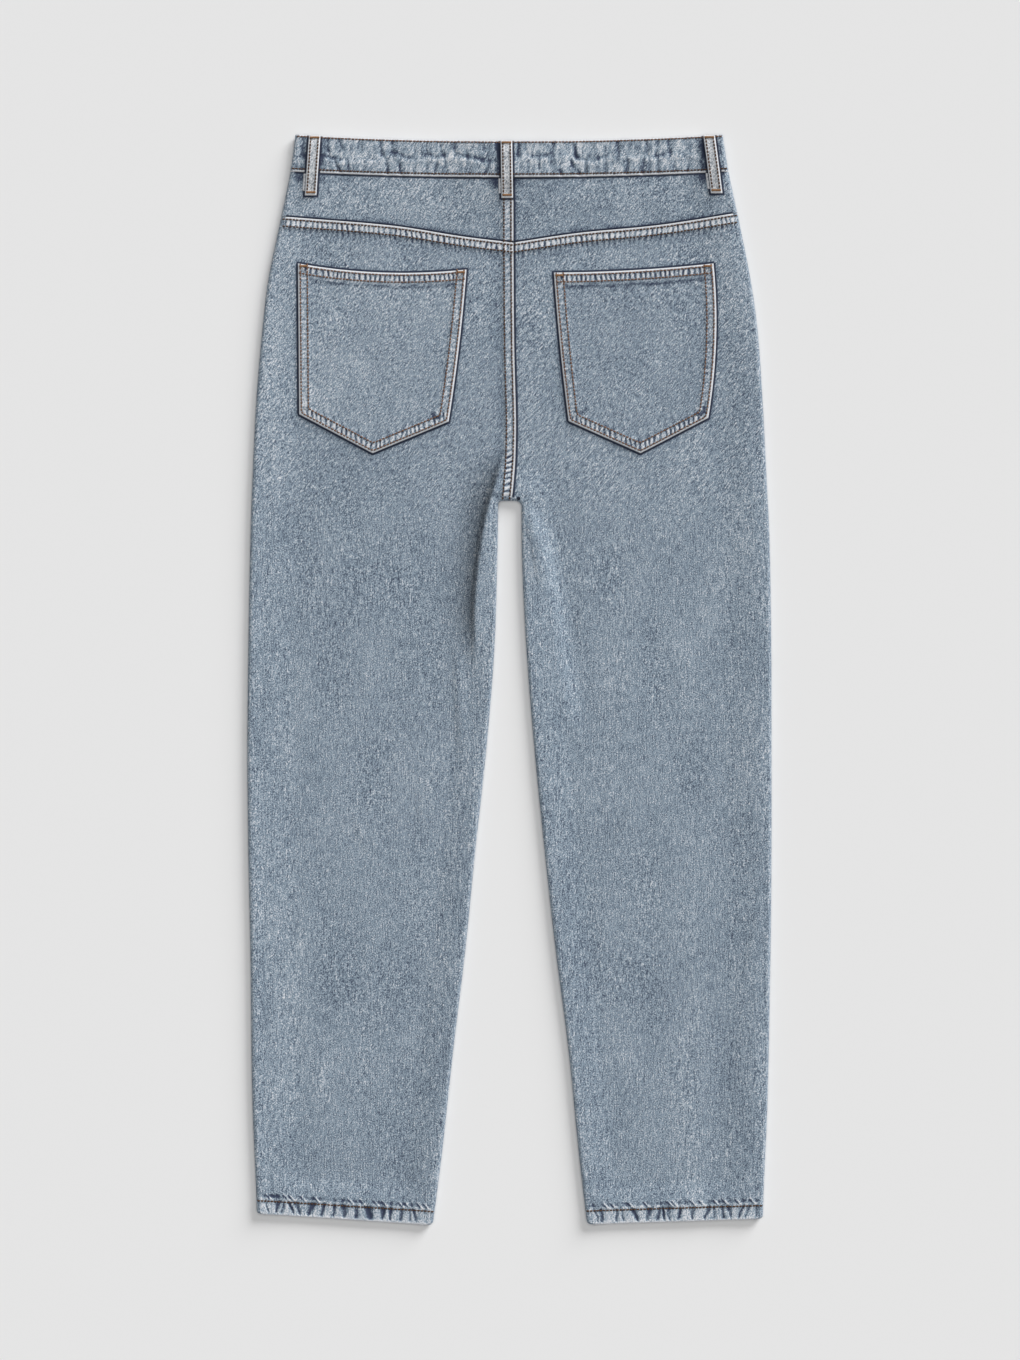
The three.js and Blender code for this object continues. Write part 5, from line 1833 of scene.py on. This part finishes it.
def bar_tacks():
    """The bar tacks: the middle and length of each, and the height of the cloth under it."""
    tacks = []
    for cut in BACK_LOOPS:

        def loop_top(x, y, cut=cut):
            return loop_height(cut, x, y) + LOOP_STITCH_RISE

        top_y = float(band_top(cut["top_x"]))
        for y in (top_y - LOOP_TACK_FROM_TOP, cut["bottom_y"] + LOOP_TACK_FROM_END):
            tacks.append((float(loop_middle(cut, y)), y, LOOP_WIDTH - LOOP_TACK_SHORT, loop_top))
    for cut in POCKETS:

        def pocket_top(x, y, cut=cut):
            return pocket_face(cut, x, y)[0]

        for corner, way in (("top_left", 1), ("top_right", -1)):
            x, y = cut[corner]
            x, y = x + way * POCKET_TACK["in"], y - POCKET_TACK["down"]
            tacks.append((x, y, POCKET_TACK["length"], pocket_top))
    return tacks


class JEANS_OT_bar_tacks(Operator):
    """Sew the bar tacks of the belt loops and pockets."""

    bl_idname = "jeans.bar_tacks"
    bl_label = "Bar Tacks"

    def execute(self, context):
        thread = context.scene.jeans_thread
        width = thread.width / MM
        centres, ways = [], []
        for middle_x, middle_y, length, cloth_top in bar_tacks():
            count = int(length / TACK_SPACING)
            x = middle_x + (np.arange(count) - (count - 1) / 2) * TACK_SPACING
            y = np.full(count, middle_y)
            lean = TACK_LEAN * (-1) ** np.arange(count)
            centres.append(np.stack([x, y, cloth_top(x, y) + width * TACK_LIFT], 1))
            ways.append(np.stack([lean, np.ones(count), np.zeros(count)], 1))
        centres, ways = np.concatenate(centres), np.concatenate(ways)
        ways /= np.linalg.norm(ways, axis=1, keepdims=True)
        ups = np.tile([0.0, 0.0, 1.0], (len(centres), 1))
        finish = finish_named("thread_tack", thread_finish, thread.tack)
        lengths = np.full(len(centres), TACK_STITCH)
        piece = stitch_mesh("bar_tacks", centres, ways, ups, lengths, width * TACK_THREAD, finish)
        return {"FINISHED"}


class JEANS_OT_stage(Operator):
    """Set the floor, the light and the camera."""

    bl_idname = "jeans.stage"
    bl_label = "Stage"

    def execute(self, context):
        stage = context.scene.jeans_stage
        bpy.ops.object.select_all(action="DESELECT")
        bpy.ops.mesh.primitive_plane_add(size=40, location=(0, 0, -0.0004))
        floor = bpy.context.object
        floor.name = floor.data.name = "floor"
        bpy.ops.object.transform_apply(location=True)
        paint = bpy.data.materials.new("matt_paper_floor")
        paint.use_nodes = True
        shader = paint.node_tree.nodes["Principled BSDF"]
        shader.inputs["Base Color"].default_value = (*stage.floor, 1)
        shader.inputs["Roughness"].default_value = 0.95
        shader.inputs["Specular IOR Level"].default_value = 0.1
        floor.data.materials.append(paint)

        for name, energy, size, tilt, turn in (
            ("key", stage.key, stage.key_size, 70, 51),
            ("overhead", stage.over, stage.over_size, 0, 0),
        ):
            sun = bpy.data.lights.new(name, "SUN")
            sun.energy = energy
            sun.angle = size
            lamp = bpy.data.objects.new(name, sun)
            lamp.rotation_euler = (0, math.radians(tilt), math.radians(turn))
            context.scene.collection.objects.link(lamp)

        world = bpy.data.worlds.new("studio")
        world.use_nodes = True
        world.node_tree.nodes["Background"].inputs["Color"].default_value = (1, 1, 1, 1)
        world.node_tree.nodes["Background"].inputs["Strength"].default_value = stage.fill
        context.scene.world = world
        context.scene.view_settings.view_transform = "Standard"

        lens = bpy.data.cameras.new("camera")
        camera = bpy.data.objects.new("camera", lens)
        lens.sensor_width = 36.0
        lens.lens = lens.sensor_width * stage.distance / PICTURE_HEIGHT
        camera.location = (PICTURE_SHIFT, 0, stage.distance)
        lens.clip_end = 100
        context.scene.collection.objects.link(camera)
        context.scene.camera = camera
        return {"FINISHED"}


class JEANS_PT_sidebar(Panel):
    """Lists the pieces and the stage."""

    bl_label = "Jeans"
    bl_space_type = "VIEW_3D"
    bl_region_type = "UI"
    bl_category = "Jeans"

    def draw(self, context):
        for operator in OPERATORS:
            self.layout.operator(operator.bl_idname)
        for group in (context.scene.jeans_cloth, context.scene.jeans_thread, context.scene.jeans_stage):
            box = self.layout.box()
            for name in group.__annotations__:
                box.prop(group, name)


OPERATORS = (
    JEANS_OT_stage,
    JEANS_OT_front_panels,
    JEANS_OT_front_facings,
    JEANS_OT_back_panels,
    JEANS_OT_yokes,
    JEANS_OT_pockets,
    JEANS_OT_waistband,
    JEANS_OT_belt_loops,
    JEANS_OT_button,
    JEANS_OT_stitching,
    JEANS_OT_bar_tacks,
)
GROUPS = (JeansCloth, JeansThread, JeansStage)
CLASSES = (*GROUPS, *OPERATORS, JEANS_PT_sidebar)


def register():
    for one in CLASSES:
        bpy.utils.register_class(one)
    bpy.types.Scene.jeans_cloth = PointerProperty(type=JeansCloth)
    bpy.types.Scene.jeans_thread = PointerProperty(type=JeansThread)
    bpy.types.Scene.jeans_stage = PointerProperty(type=JeansStage)


def unregister():
    del bpy.types.Scene.jeans_stage
    del bpy.types.Scene.jeans_thread
    del bpy.types.Scene.jeans_cloth
    for one in reversed(CLASSES):
        bpy.utils.unregister_class(one)


def main():
    register()
    bpy.ops.jeans.stage()
    bpy.ops.jeans.front_panels()
    bpy.ops.jeans.front_facings()
    bpy.ops.jeans.back_panels()
    bpy.ops.jeans.yokes()
    bpy.ops.jeans.pockets()
    bpy.ops.jeans.waistband()
    bpy.ops.jeans.belt_loops()
    bpy.ops.jeans.button()
    bpy.ops.jeans.stitching()
    bpy.ops.jeans.bar_tacks()


if __name__ == "__main__":
    main()
